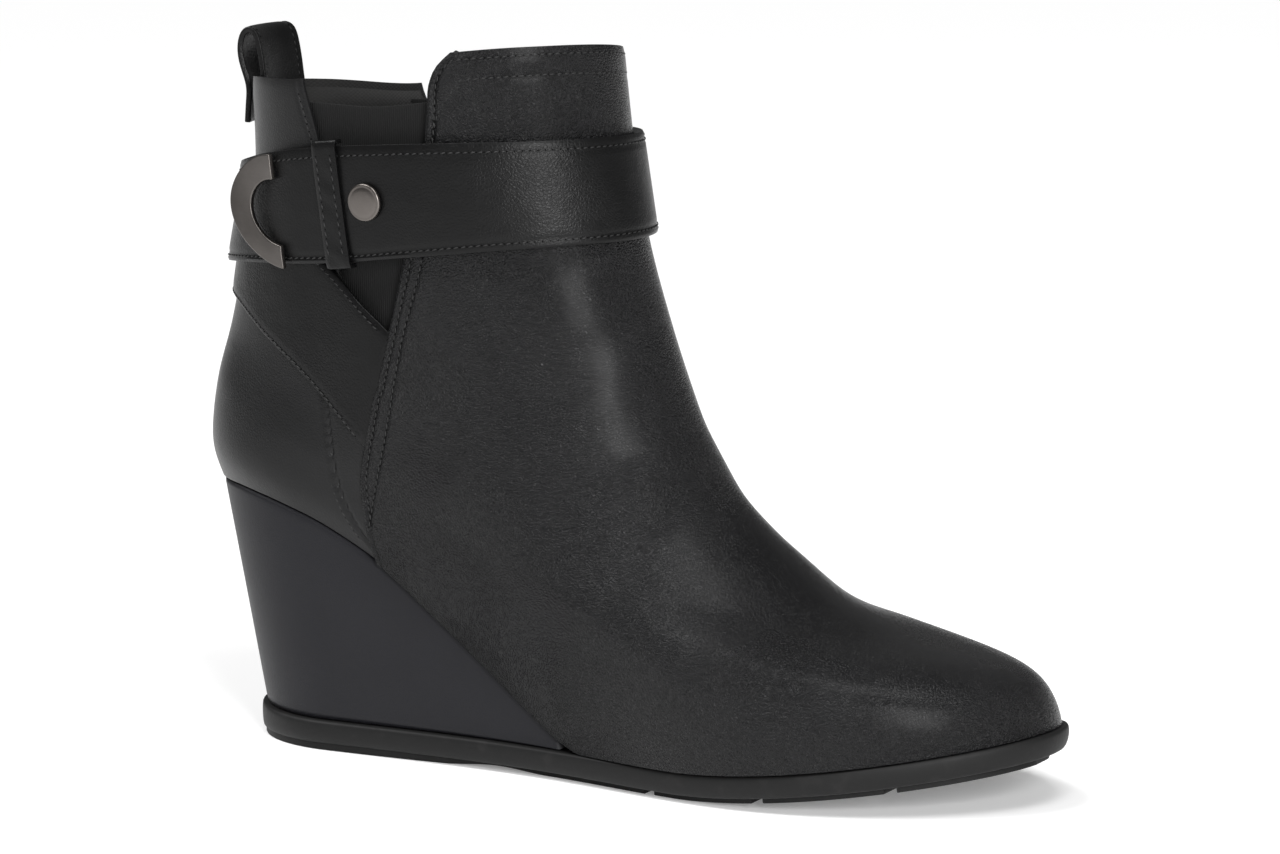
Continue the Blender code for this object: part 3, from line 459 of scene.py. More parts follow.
def evenCurve(rows, key=0, value=1):
    table = sorted((row[key], row[value]) for row in rows)
    x = np.array([row[0] for row in table])
    y = np.array([row[1] for row in table])
    slope = np.diff(y) / np.diff(x)
    lean = np.zeros(len(x))
    lean[0] = slope[0]
    lean[-1] = slope[-1]
    for i in range(1, len(x) - 1):
        if slope[i - 1] * slope[i] > 0.0:
            lean[i] = 2.0 * slope[i - 1] * slope[i] / (slope[i - 1] + slope[i])

    def at(q):
        q = np.clip(np.asarray(q, float), x[0], x[-1])
        k = np.clip(np.searchsorted(x, q) - 1, 0, len(x) - 2)
        width = x[k + 1] - x[k]
        s = (q - x[k]) / width
        start = (1.0 + 2.0 * s) * (1.0 - s) ** 2 * y[k] + s * (1.0 - s) ** 2 * width * lean[k]
        end = s * s * (3.0 - 2.0 * s) * y[k + 1] + s * s * (s - 1.0) * width * lean[k + 1]
        return start + end
    return at


def lengthLine(rows, key, value, keySize, valueSize):
    curve = evenCurve(rows, key, value)
    return lambda q: valueSize * curve(np.asarray(q) / keySize)


sectionAt = naturalCurve(np.linspace(0.0, 1.0, len(sections)), sections)
seatRise = evenCurve(seatLine)
footbedRise = evenCurve(footbedLine)
length = last["soleLength"]
backTop = last["backTop"]
vampEdgeX = lengthLine(vampEdge, 1, 0, backTop, length)
stripEdgeX = lengthLine(stripEdge, 1, 0, backTop, length)
bandTopZ = lengthLine(bandTop, 0, 1, length, backTop)
bandBottomZ = lengthLine(bandBottom, 0, 1, length, backTop)
strapTopZ = lengthLine(strapTop, 0, 1, length, backTop)
strapBottomZ = lengthLine(strapBottom, 0, 1, length, backTop)
goreTopZ = lengthLine(goreTop, 0, 1, length, backTop)


def smooth(q, low=0.0, high=1.0):
    s = np.clip((np.asarray(q, float) - low) / (high - low), 0.0, 1.0)
    return s * s * (3.0 - 2.0 * s)


def bump(q, middle, width):
    return np.exp(-((np.asarray(q, float) - middle) / width) ** 2)


def towardsToe(x, start):
    return np.clip((np.asarray(x) / length - start) / (1.0 - start), 0.0, 2.0) ** last["bendPower"]


def toeLift(x):
    return last["toeSpring"] * towardsToe(x, last["springStart"])


def toeSwing(x):
    return last["toeSwing"] * towardsToe(x, last["swingStart"])


def soleTop(x):
    share = np.clip(np.asarray(x) / length / last["soleBlendEnd"], 0.0, 1.0)
    return last["soleTopHeel"] + (last["soleTopFore"] - last["soleTopHeel"]) * share + toeLift(x)


def seatHeight(x):
    lift = last["heelHeight"] - last["soleTopHeel"] - last["clear"]
    return soleTop(x) + last["clear"] + lift * seatRise(np.asarray(x) / length)


def halfWidth(r, heel, waist, ball, side):
    ballPlace = last["ballPlaceOuter"] if side < 0 else last["ballPlaceInner"]
    places = np.array([0.0, last["heelPlace"], last["waistPlace"], ballPlace, 1.0])
    heel = np.asarray(heel, float)
    toe = ball * last["toeWidthShare"]
    widths = np.stack(np.broadcast_arrays(heel, heel, waist, ball, toe), -1) / 2.0
    h = np.diff(places)
    count = len(places)
    matrix = np.zeros((count, count))
    matrix[0, 0] = matrix[-1, -1] = 1.0
    for i in range(1, count - 1):
        matrix[i, i - 1:i + 2] = h[i - 1], 2.0 * (h[i - 1] + h[i]), h[i]
    right = np.zeros(widths.shape)
    right[..., 1:-1] = 6.0 * np.diff(np.diff(widths, axis=-1) / h, axis=-1)
    bend = right @ np.linalg.inv(matrix).T
    r = np.clip(np.asarray(r, float), 0.0, 1.0)
    k = np.clip(np.searchsorted(places, r) - 1, 0, count - 2)
    shape = np.broadcast_shapes(r.shape, widths.shape[:-1])
    k = np.broadcast_to(k, shape)
    r = np.broadcast_to(r, shape)
    widths = np.broadcast_to(widths, shape + (count,))
    bend = np.broadcast_to(bend, shape + (count,))

    def pick(table, index):
        return np.take_along_axis(table, index[..., None], -1)[..., 0]
    width = h[k]
    a = (places[k + 1] - r) / width
    b = 1.0 - a
    curve = (a ** 3 - a) * pick(bend, k) + (b ** 3 - b) * pick(bend, k + 1)
    return a * pick(widths, k) + b * pick(widths, k + 1) + curve * width ** 2 / 6.0


def soleHalfWidth(r, side):
    sideShare = last["soleSideShare"]
    return halfWidth(r, last["heelWidth"] * last["soleHeelShare"], last["waistWidth"] * sideShare,
                     last["ballWidth"] * sideShare, side)


def soleEnds(r, side):
    return rounding(r, last["soleToeRound"], last["soleHeelRound"], side)


def roundEnd(share, fullness):
    return np.sqrt(np.clip(1.0 - np.clip(share, 0.0, 1.0) ** fullness, 0.0, 1.0))


def rounding(r, toe, heelEnd, side):
    toeEnd = last["toeEndOuter"] if side < 0 else last["toeEndInner"]
    reach = np.minimum(toe * toeEnd, last["toeEndLimit"])
    back = roundEnd(1.0 - r / heelEnd, last["heelFullness"])
    return back * roundEnd(1.0 - (1.0 - r) / reach, last["toeFullness"])


def nearCollar(t, start):
    return np.clip((t - start) / (1.0 - start), 0.0, 1.0)


def lastSide(t, r):
    row = sectionAt(t)
    backX = row[..., 0] * last["heelOverhang"]
    frontX = row[..., 2] * length
    seatBackX = sections[0][0] * last["heelOverhang"]
    seatFrontX = sections[0][2] * length
    seatBack = seatHeight(seatBackX)
    seatFront = seatHeight(seatFrontX)
    backZ = seatBack + row[..., 1] * (backTop - seatBack)
    frontZ = seatFront + row[..., 3] * (last["frontTop"] - seatFront)
    x = backX + (frontX - backX) * r
    z = backZ + (frontZ - backZ) * r
    chord = seatBack + (seatFront - seatBack) * r
    fade = np.clip(1.0 - t / last["seatFade"], 0.0, 1.0) ** last["seatFadePower"]
    z = z + fade * (seatHeight(seatBackX + (seatFrontX - seatBackX) * r) - chord)
    dip = last["collarDip"] * np.sin(math.pi * np.clip(r / last["dipEnd"], 0.0, 1.0)) ** 2
    z = z - dip * nearCollar(t, last["dipStart"]) ** 2
    return x, z, row


# A place on the last: t from the seat line (0) to the collar (1), and a turn from the back (0)
# along the outer side to the toe (1) and along the inner side to the back again (2)
def lastPoint(t, turn):
    t, turn = np.broadcast_arrays(np.asarray(t, float), np.mod(np.asarray(turn, float), 2.0))
    v = np.where(turn <= 1.0, turn, 2.0 - turn)
    r = 0.5 - 0.5 * np.cos(math.pi * v)
    x, z, row = lastSide(t, r)
    y = np.zeros(r.shape)
    for side in (-1, 1):
        width = halfWidth(r, row[..., 4] * last["heelWidth"], row[..., 5] * last["waistWidth"],
                          row[..., 6] * last["ballWidth"], side)
        ySide = side * width * rounding(r, row[..., 7], row[..., 8], side)
        y = np.where((turn <= 1.0) == (side < 0), ySide, y)
    roll = last["collarRoll"] * nearCollar(t, last["rollStart"]) ** last["bendPower"]
    return np.stack([x, y + toeSwing(x), z - roll * y], -1)


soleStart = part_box("outsole")[0].x
middleLine = 0.5 * (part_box("wedge")[0].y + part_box("wedge")[1].y)
toFrame = np.array((soleStart, middleLine, 0.0))


def skin(t, turn, offset=0.0):
    step = 0.002
    t = np.asarray(t, float)
    turn = np.asarray(turn, float)
    up = lastPoint(np.clip(t + step, 0.0, 1.0), turn) - lastPoint(np.clip(t - step, 0.0, 1.0), turn)
    along = lastPoint(t, turn + step) - lastPoint(t, turn - step)
    normal = np.cross(along, up)
    normal /= np.linalg.norm(normal, axis=-1, keepdims=True)
    return lastPoint(t, turn) + normal * np.asarray(offset)[..., None] + toFrame


def halve(tooFar, shape, low=0.0, high=1.0):
    low = np.full(shape, low)
    high = np.full(shape, high)
    for _ in range(34):
        half = 0.5 * (low + high)
        over = tooFar(half)
        high = np.where(over, half, high)
        low = np.where(over, low, half)
    return 0.5 * (low + high)


def turnOf(r):
    return np.arccos(1.0 - 2.0 * r) / math.pi


def shareOf(t, x):
    row = sectionAt(t)
    backX = row[..., 0] * last["heelOverhang"]
    frontX = row[..., 2] * length
    return np.clip((x - backX) / (frontX - backX), 0.0, 1.0)


def placeOn(x, z):
    x, z = np.broadcast_arrays(np.asarray(x, float), np.asarray(z, float))
    t = halve(lambda s: lastSide(s, shareOf(s, x))[1] > z, x.shape)
    return t, turnOf(shareOf(t, x))


def lineTurn(t, lineX):
    def ahead(r):
        x, z, _ = lastSide(t, r)
        return x > lineX(z)
    return turnOf(halve(ahead, np.shape(t), 0.02, 0.95))


def lineTable(lineX):
    keys = np.linspace(0.0, 1.0, 161)
    turns = lineTurn(keys, lineX)
    return lambda t: np.interp(t, keys, turns)


stepTurn = lineTable(vampEdgeX)


def turnAt(t, u):
    edge = stepTurn(t)
    share = last["edgeShare"]
    return np.where(u < share, edge * u / share, edge + (1.0 - edge) * (u - share) / (1.0 - share))


def sectionOnLine(u, lineZ):
    def above(t):
        r = 0.5 - 0.5 * np.cos(math.pi * turnAt(t, u))
        x, z, _ = lastSide(t, r)
        return z > lineZ(x)
    return halve(above, np.shape(u))


# Grids laid out flat and then wrapped round the last. Points closer than mergeGap become one
mergeGap = 0.000002


def layGrid(across, up, wrap):
    bm = bmesh.new()
    bmesh.ops.create_grid(bm, x_segments=across, y_segments=up, size=0.5)
    s, h = np.meshgrid(np.linspace(0.0, 1.0, across + 1), np.linspace(0.0, 1.0, up + 1))
    laid = wrap(s, h)
    points, marks = laid if isinstance(laid, tuple) else (laid, {})
    layers = [bm.verts.layers.float.new(name) for name in marks]
    verts = sorted(bm.verts, key=lambda vert: (round(vert.co.y, 5), round(vert.co.x, 5)))
    for layer, values in zip(layers, marks.values()):
        for vert, value in zip(verts, values.ravel()):
            vert[layer] = value
    for vert, point in zip(verts, points.reshape(-1, 3)):
        vert.co = point
    return bm


def runAlong(points, axis):
    step = np.linalg.norm(np.diff(points, axis=axis), axis=-1)
    start = np.zeros_like(np.take(step, [0], axis=axis))
    return np.concatenate([start, np.cumsum(step, axis=axis)], axis=axis)


def newPiece(name, bm, finish):
    mesh = bpy.data.meshes.new(name)
    bm.to_mesh(mesh)
    bm.free()
    mesh.shade_smooth()
    mesh.materials.append(finish)
    piece = bpy.data.objects.new(name, mesh)
    bpy.context.scene.collection.objects.link(piece)
    return piece


def settle(piece, stands):
    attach(piece, "root")
    if stands:
        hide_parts(*stands)


def addPiece(name, bm, finish, stands=()):
    bmesh.ops.remove_doubles(bm, verts=bm.verts, dist=mergeGap)
    bmesh.ops.recalc_face_normals(bm, faces=bm.faces)
    settle(newPiece(name, bm, finish), stands)


def fillRims(bm):
    bmesh.ops.remove_doubles(bm, verts=bm.verts, dist=mergeGap)
    bmesh.ops.holes_fill(bm, edges=[edge for edge in bm.edges if edge.is_boundary], sides=0)


def faceOut(bm, probe):
    # An open sheet is turned so that its faces look away from the probe point
    total = sum((face.calc_center_median() - probe).dot(face.normal) * face.calc_area() for face in bm.faces)
    if total < 0.0:
        bmesh.ops.reverse_faces(bm, faces=bm.faces)


def addSheet(name, bm, finish, thickness, edgeRound=0.0, stands=(), inside=None, probe=None):
    bmesh.ops.remove_doubles(bm, verts=bm.verts, dist=mergeGap)
    bm.normal_update()
    if probe is not None:
        faceOut(bm, probe)
    piece = newPiece(name, bm, finish)
    wall = piece.modifiers.new("wall", "SOLIDIFY")
    wall.thickness = thickness
    wall.offset = -1.0
    wall.use_even_offset = False
    if inside is not None:
        piece.data.materials.append(inside)
        wall.material_offset = 1
        wall.material_offset_rim = 0
    if edgeRound > 0.0:
        soft = piece.modifiers.new("soft_edge", "BEVEL")
        soft.width = edgeRound
        soft.segments = 3
        soft.limit_method = "ANGLE"
        soft.angle_limit = math.radians(50.0)
    settle(piece, stands)


shaftMiddle = Vector((0.060, 0.0, 0.120)) + Vector(toFrame)

# Front panel: one piece of leather from its rear edge on the outer side round the toe to the inner side
frontPanel = {
    "across": 250,
    "up": 118,
    "wall": 0.0012,
    "edgeRound": 0.00035,
    "cutAhead": 0.0006,
    "cornerRadius": 0.0125,
    "cornerStart": 0.1860,
    "cutFoot": 0.1042,
    "firstRow": 0.0022,
    "topRow": 0.0078,
    "secondPath": ((0.0488, 0.0630), (0.0557, 0.0885), (0.0623, 0.1196), (0.0689, 0.1430), (0.0733, 0.1790),
                   (0.0798, 0.1898)),
    "channel": 0.00036,
}
secondPathX = evenCurve(frontPanel["secondPath"], 1, 0)
# Soft creases: start and end as x and z on the side, depth (below 0 is a ridge), width, and how
# much of it shows on the outer and the inner side
creases = (
    ((0.118, 0.120), (0.100, 0.109), 0.00050, 0.0060, 1.0, 0.8),
    ((0.124, 0.108), (0.103, 0.098), -0.00045, 0.0060, 1.0, 0.8),
    ((0.134, 0.096), (0.110, 0.084), 0.00055, 0.0070, 1.0, 0.9),
    ((0.150, 0.080), (0.126, 0.062), 0.00060, 0.0080, 1.0, 1.0),
    ((0.168, 0.066), (0.150, 0.046), -0.00050, 0.0080, 1.0, 0.9),
    ((0.182, 0.058), (0.166, 0.036), 0.00055, 0.0070, 0.9, 1.0),
    ((0.112, 0.142), (0.094, 0.134), 0.00035, 0.0060, 1.0, 0.7),
    ((0.000, 0.104), (0.024, 0.090), 0.00040, 0.0070, 1.0, 0.9),
)


def creaseDepth(points, outer):
    x = points[..., 0] - toFrame[0]
    z = points[..., 2]
    depth = np.zeros(x.shape)
    for start, end, deep, wide, shownOuter, shownInner in creases:
        runX = end[0] - start[0]
        runZ = end[1] - start[1]
        size = math.hypot(runX, runZ)
        along = ((x - start[0]) * runX + (z - start[1]) * runZ) / size ** 2
        aside = ((x - start[0]) * runZ - (z - start[1]) * runX) / size
        ends = smooth(along, -0.25, 0.30) * (1.0 - smooth(along, 0.55, 1.15))
        shown = np.where(outer, shownOuter, shownInner)
        depth = depth + deep * shown * ends * bump(aside, 0.0, wide)
    return depth


def frontEdgeX(z):
    radius = frontPanel["cornerRadius"]
    rise = np.clip((np.asarray(z) - frontPanel["cornerStart"]) / radius, 0.0, 1.0)
    ahead = np.where(np.asarray(z) > frontPanel["cutFoot"], frontPanel["cutAhead"], 0.0)
    return vampEdgeX(z) + ahead + radius * (1.0 - np.sqrt(1.0 - rise ** 2))


frontEdgeTurn = lineTable(frontEdgeX)


def closerRows(h):
    # Rows gather near the collar, where the panel's corner is round
    return 1.0 - (0.45 * (1.0 - h) + 0.55 * (1.0 - h) ** 2)


def frontWrap(s, h):
    t = closerRows(h)
    q = 2.0 * s - 1.0
    reach = 1.0 - np.abs(q)
    ahead = 0.30 * reach + 0.70 * reach ** 2
    edge = frontEdgeTurn(t)
    turn = edge + (1.0 - edge) * ahead
    turn = np.where(q < 0.0, turn, 2.0 - turn)
    base = skin(t, turn)
    fromLeft = runAlong(base, 1)
    fromEdge = np.minimum(fromLeft, fromLeft[:, -1:] - fromLeft)
    fromTop = runAlong(base, 0)
    fromTop = fromTop[-1:] - fromTop
    step = last["vampStep"] * (1.0 - np.clip((turn - edge) / (1.0 - edge), 0.0, 1.0)) ** 2
    inner = last["vampStep"] * (1.0 - np.clip((2.0 - turn - edge) / (1.0 - edge), 0.0, 1.0)) ** 2
    step = np.where(q < 0.0, step, inner)
    near = np.minimum(fromEdge, fromTop)
    x = base[..., 0] - toFrame[0]
    z = base[..., 2]
    inRange = smooth(z, 0.064, 0.068) * (1.0 - smooth(z, 0.186, 0.190))
    second = bump(x - secondPathX(z), 0.0, 0.0006) * inRange
    channels = bump(near, frontPanel["firstRow"], 0.0006) + 0.8 * second
    channels = channels + 0.8 * bump(fromTop, frontPanel["topRow"], 0.0006) * smooth(x, 0.080, 0.083)
    puff = 0.35 * bump(near, 0.0011, 0.0006) + 0.3 * bump(x - secondPathX(z), -0.0030, 0.0016) * inRange
    lift = step - frontPanel["channel"] * (channels - puff) - creaseDepth(base, q < 0.0)
    lift = lift - 0.0004 * (1.0 - smooth(near, 0.0, 0.0008))
    return skin(t, turn, lift)


addSheet("front_panel", layGrid(frontPanel["across"], frontPanel["up"], frontWrap), upperLeather,
         frontPanel["wall"], frontPanel["edgeRound"], ("upper",), liningFinish,
         shaftMiddle)
print("front panel")

# Rear quarter: from the outer front edge round the heel to the inner side
quarter = {
    "across": 170,
    "up": 110,
    "wall": 0.0010,
    "edgeRound": 0.0003,
    "lap": 0.0045,
    "apex": 0.560,
    "seamDepth": 0.00055,
}
counterLine = (
    (0.130, 0.620), (0.1460, 0.528), (0.156, 0.435), (0.166, 0.390), (0.1835, 0.345),
    (0.200, 0.318), (0.220, 0.295),
)
counterEdgeX = lengthLine(counterLine, 1, 0, backTop, length)


def quarterEdgeX(z):
    share = smooth(np.asarray(z) / backTop, quarter["apex"], quarter["apex"] + 0.02)
    return (vampEdgeX(z) + quarter["lap"]) * (1.0 - share) + stripEdgeX(z) * share


quarterEdgeTurn = lineTable(quarterEdgeX)


def quarterWrap(s, h):
    t = h
    q = 2.0 * s - 1.0
    reach = 1.0 - np.abs(q)
    back = 1.0 - (0.35 * reach + 0.65 * reach ** 1.6)
    turn = np.mod(quarterEdgeTurn(t) * back * np.sign(q), 2.0)
    base = skin(t, turn)
    x = base[..., 0] - toFrame[0]
    z = base[..., 2]
    counter = 1.0 - smooth(x - counterEdgeX(z), -0.0004, 0.0004)
    # It ends under the middle of the heel strap
    strapMiddle = 0.5 * (bandTopZ(x) + bandBottomZ(x))
    counter = counter * (1.0 - smooth(z - strapMiddle, -0.004, 0.004))
    below = np.clip((z - seatHeight(x)) / 0.02, 0.0, 1.0)
    stripTop = smooth(z, 0.60 * backTop, 0.66 * backTop)
    fromEdge = np.where(z > 0.6 * backTop, stripEdgeX(z) - x, 1.0)
    fromTop = runAlong(base, 0)
    fromTop = fromTop[-1:] - fromTop
    near = np.minimum(fromEdge, fromTop)
    lift = 0.00045 * counter * (0.4 + 0.6 * below) - 0.00045
    lift = lift + 0.0003 * stripTop - 0.00020 * bump(near, 0.0022, 0.0006)
    lift = lift - 0.0003 * (1.0 - smooth(near, 0.0, 0.0007)) - creaseDepth(base, q > 0.0)
    seam = bump(x - counterEdgeX(z), 0.0005, 0.0005) * (1.0 - smooth(z - strapMiddle, -0.004, 0.004))
    return skin(t, turn, lift - quarter["seamDepth"] * seam)


addSheet("rear_quarter", layGrid(quarter["across"], quarter["up"], quarterWrap), quarterLeather,
         quarter["wall"], quarter["edgeRound"], (), liningFinish, shaftMiddle)
print("rear quarter")

# Lining sheets inside both panels
lining = {
    "across": 120,
    "up": 50,
    "front": 0.0011,
    "back": 0.0012,
    "wall": 0.0005,
    "inset": 0.0006,
}


def frontLiningWrap(s, h):
    t = 0.005 + 0.985 * h
    edge = lineTurn(t, lambda z: frontEdgeX(z) + lining["inset"])
    q = 2.0 * s - 1.0
    turn = 1.0 + q * (1.0 - edge)
    return skin(t, turn, np.full(t.shape, -lining["front"]))


def rearLiningWrap(s, h):
    t = 0.005 + 0.985 * h
    edge = lineTurn(t, lambda z: quarterEdgeX(z) - lining["inset"])
    turn = np.mod(edge * (2.0 * s - 1.0), 2.0)
    return skin(t, turn, np.full(t.shape, -lining["back"] - 0.0002))


addSheet("front_lining", layGrid(lining["across"], lining["up"], frontLiningWrap), liningFinish,
         lining["wall"], 0.0, (), None, shaftMiddle)
addSheet("rear_lining", layGrid(lining["across"], lining["up"], rearLiningWrap), liningFinish,
         lining["wall"], 0.0, (), None, shaftMiddle)

# Elastic panels behind the two cut-outs
elastic = {
    "across": 60,
    "up": 60,
    "foot": 0.540,
    "lap": 0.0040,
    "inside": 0.0019,
    "wall": 0.0011,
    "ribPitch": 0.0007,
}


def elasticWrap(outerSide):
    def wrap(s, h):
        low = elastic["foot"] * backTop
        high = goreTopZ(length * (0.12 + 0.18 * s))
        z = low + (high - low) * h
        left = stripEdgeX(z) - elastic["lap"]
        right = vampEdgeX(z) + elastic["lap"]
        x = left + (right - left) * s
        t, turn = placeOn(x, z)
        turn = turn if outerSide else 2.0 - turn
        # The free span is drawn in a little between its two sewn sides
        slack = 0.0006 * np.sin(math.pi * s) * smooth(h, 0.3, 1.0)
        points = skin(t, turn, np.full(t.shape, -elastic["inside"]) - slack)
        return points, {"rib": x / elastic["ribPitch"]}
    return wrap


for name, outerSide in (("gore_lateral", True), ("gore_medial", False)):
    clothBm = layGrid(elastic["across"], elastic["up"], elasticWrap(outerSide))
    addSheet(name + "_cloth", clothBm, elasticFinish, elastic["wall"], 0.0003, (name,), None,
             shaftMiddle)
print("lining and elastic")

# Heel strap and ankle strap: bands on the skin, their edges rounded and a sewn channel along each
heelStrap = {
    "across": 150,
    "up": 20,
    "inner": 0.0003,
    "thick": 0.0015,
    "edgeRound": 0.0005,
    "row": 0.0014,
    "channel": 0.00034,
    "dive": 0.0009,
}
ankleStrap = {
    "across": 360,
    "up": 26,
    "rear": 0.0021,
    "front": 0.0005,
    "thick": 0.0023,
    "edgeRound": 0.0008,
    "row": 0.0022,
    "channel": 0.00038,
    "crown": 0.00030,
}


def strapOffset(u):
    return ankleStrap["rear"] + (ankleStrap["front"] - ankleStrap["rear"]) * smooth(u, 0.62, 1.0)


def bandPlace(turnShare, h, lowLine, highLine):
    # turnShare runs from -1, the inner side, through 0 at the back to 1, the outer side
    u = np.abs(turnShare)
    low = sectionOnLine(u, lowLine)
    high = sectionOnLine(u, highLine)
    t = low + (high - low) * h
    v = turnAt(t, u)
    return t, np.where(turnShare < 0.0, 2.0 - v, v)


def bandRelief(base, band):
    fromLow = runAlong(base, 0)
    near = np.minimum(fromLow, fromLow[-1:] - fromLow)
    relief = -band["channel"] * bump(near, band["row"], 0.0006)
    relief = relief + 0.3 * band["channel"] * bump(near, band["row"] * 0.45, 0.0006)
    return relief - 0.0004 * (1.0 - smooth(near, 0.0, 0.0012))


def heelWrap(s, h):
    reach = last["edgeShare"] + 0.004
    share = reach * (2.0 * s - 1.0)
    t, turn = bandPlace(share, h, bandBottomZ, bandTopZ)
    base = skin(t, turn)
    relief = bandRelief(base, heelStrap)
    offset = heelStrap["inner"] + heelStrap["thick"] + relief
    # The ends dive under the front panel's edge
    dive = smooth(np.abs(share), last["edgeShare"] - 0.055, last["edgeShare"])
    return skin(t, turn, offset - heelStrap["dive"] * dive)


def ankleWrap(s, h):
    share = 2.0 * s - 1.0
    t, turn = bandPlace(share, h, strapBottomZ, strapTopZ)
    base = skin(t, turn)
    relief = bandRelief(base, ankleStrap)
    crown = ankleStrap["crown"] * np.sin(math.pi * np.clip(h, 0.0, 1.0))
    offset = strapOffset(np.abs(share)) + ankleStrap["thick"] + relief + crown - 0.0002
    return skin(t, turn, offset)


addSheet("heel_strap_leather", layGrid(heelStrap["across"], heelStrap["up"], heelWrap), strapLeather,
         heelStrap["thick"], heelStrap["edgeRound"], ("heel_strap",), None, shaftMiddle)
addSheet("ankle_strap_leather", layGrid(ankleStrap["across"], ankleStrap["up"], ankleWrap), strapLeather,
         ankleStrap["thick"], ankleStrap["edgeRound"], ("ankle_strap",), None, shaftMiddle)
strapFace = ankleStrap["rear"] + ankleStrap["thick"]
print("straps")

# Keeper: a strip folded round the strap
keeper = {
    "left": ((0.1525, 0.925), (0.1690, 0.750)),
    "width": 0.0080,
    "over": 0.0016,
    "thick": 0.0012,
    "across": 14,
    "along": 60,
}
keeperLeftX = lengthLine(keeper["left"], 1, 0, backTop, length)


def keeperWrap(s, h):
    across = s[0]
    low = np.empty(len(across))
    high = np.empty(len(across))
    for target, line in ((low, strapBottomZ), (high, strapTopZ)):
        x = np.full(len(across), 0.15 * length)
        for _ in range(12):
            z = line(x)
            x = keeperLeftX(z) + across * keeper["width"]
        target[:] = z
    over = keeper["over"]
    base = ankleStrap["rear"] + 0.0004
    face = strapFace + 0.0002
    # The strip rises behind the lower edge, runs over the face and goes back behind the upper one
    corner = 0.13
    side = np.clip(np.minimum(h, 1.0 - h) / corner, 0.0, 1.0)
    offset = base + (face + keeper["thick"] - base) * roundEnd(1.0 - side, 2.4)
    run = smooth(h, corner * 0.35, 1.0 - corner * 0.35)
    run = 0.25 * run + 0.75 * np.clip((h - corner * 0.35) / (1.0 - corner * 0.7), 0.0, 1.0)
    z = (low - over) + (high - low + 2.0 * over) * run
    x = keeperLeftX(z) + across * keeper["width"]
    ripple = 0.00010 * np.sin(h * 31.0 + 4.0 * s) * np.sin(math.pi * s) * (0.6 + 0.4 * np.sin(h * 13.0))
    edgeFold = -0.00035 * (1.0 - smooth(np.minimum(s, 1.0 - s), 0.0, 0.16))
    t, turn = placeOn(x, z)
    return skin(t, turn, offset + edgeFold + ripple)


addSheet("strap_keeper_leather", layGrid(keeper["across"], keeper["along"], keeperWrap), strapLeather,
         keeper["thick"], 0.00035, ("strap_keeper",), None, shaftMiddle)


# Snap: a turned disc with a soft rim, spun round its own axis
snap = {
    "place": (0.2240, 0.852),
    "outline": ((0.0, 0.00185), (0.0030, 0.00180), (0.0041, 0.00160), (0.0044, 0.00150), (0.0047, 0.00158),
                (0.00505, 0.00145), (0.00525, 0.00105), (0.00525, 0.00045), (0.0050, 0.0)),
    "steps": 64,
}


def spunPiece(outline, steps, matrix):
    bm = bmesh.new()
    verts = [bm.verts.new((radius, 0.0, height)) for radius, height in outline]
    edges = [bm.edges.new(pair) for pair in zip(verts, verts[1:])]
    bmesh.ops.spin(bm, geom=verts + edges, cent=(0.0, 0.0, 0.0), axis=(0.0, 0.0, 1.0), angle=2.0 * math.pi,
                   steps=steps, use_merge=True)
    bmesh.ops.remove_doubles(bm, verts=bm.verts, dist=0.00001)
    bmesh.ops.recalc_face_normals(bm, faces=bm.faces)
    bmesh.ops.transform(bm, matrix=matrix, verts=bm.verts)
    return bm


def standOn(x, z, offset):
    t, turn = placeOn(x, z)
    foot = Vector(skin(t, turn, np.float64(offset)))
    outward = (Vector(skin(t, turn, np.float64(offset + 0.001))) - foot).normalized()
    return Matrix.Translation(foot) @ outward.to_track_quat("Z", "Y").to_matrix().to_4x4()


snapMatrix = standOn(snap["place"][0] * length, snap["place"][1] * backTop, strapFace + 0.0002)
snapBm = spunPiece(snap["outline"], snap["steps"], snapMatrix)
bmesh.ops.holes_fill(snapBm, edges=[edge for edge in snapBm.edges if edge.is_boundary], sides=0)
addPiece("snap_cap_metal", snapBm, snapFinish, ("snap_cap",))

# Half ring bent to the strap's face
ring = {
    "place": (0.1033, 0.824),
    "outer": 0.0158,
    "inner": 0.0092,
    "lean": 6.6,
    "lift": 0.0004,
    "stand": 0.0040,
    "thick": 0.0016,
    "across": 12,
    "around": 90,
}


def ringWrap(s, h):
    lean = math.radians(ring["lean"])
    radius = ring["inner"] + (ring["outer"] - ring["inner"]) * s
    angle = math.pi * (0.5 + h)
    side = radius * np.cos(angle)
    up = radius * np.sin(angle)
    centreX = ring["place"][0] * length
    centreZ = ring["place"][1] * backTop
    t, turn = placeOn(centreX - up * math.sin(lean), centreZ + up * math.cos(lean))
    for _ in range(12):
        ahead = skin(t, turn + 0.002, np.full(t.shape, strapFace))
        ahead = ahead - skin(t, turn - 0.002, np.full(t.shape, strapFace))
        turn = turn + side / 12.0 * 0.004 / np.linalg.norm(ahead, axis=-1)
    dome = 0.0001 * np.sin(math.pi * s)
    stand = ring["stand"] * (side / ring["outer"]) ** 2
    return skin(t, turn, strapFace + ring["lift"] + ring["thick"] + dome + stand)


addSheet("half_ring_metal", layGrid(ring["across"], ring["around"], ringWrap), ringFinish,
         ring["thick"], 0.0004, ("half_ring",), None, shaftMiddle)
print("keeper, snap and half ring")

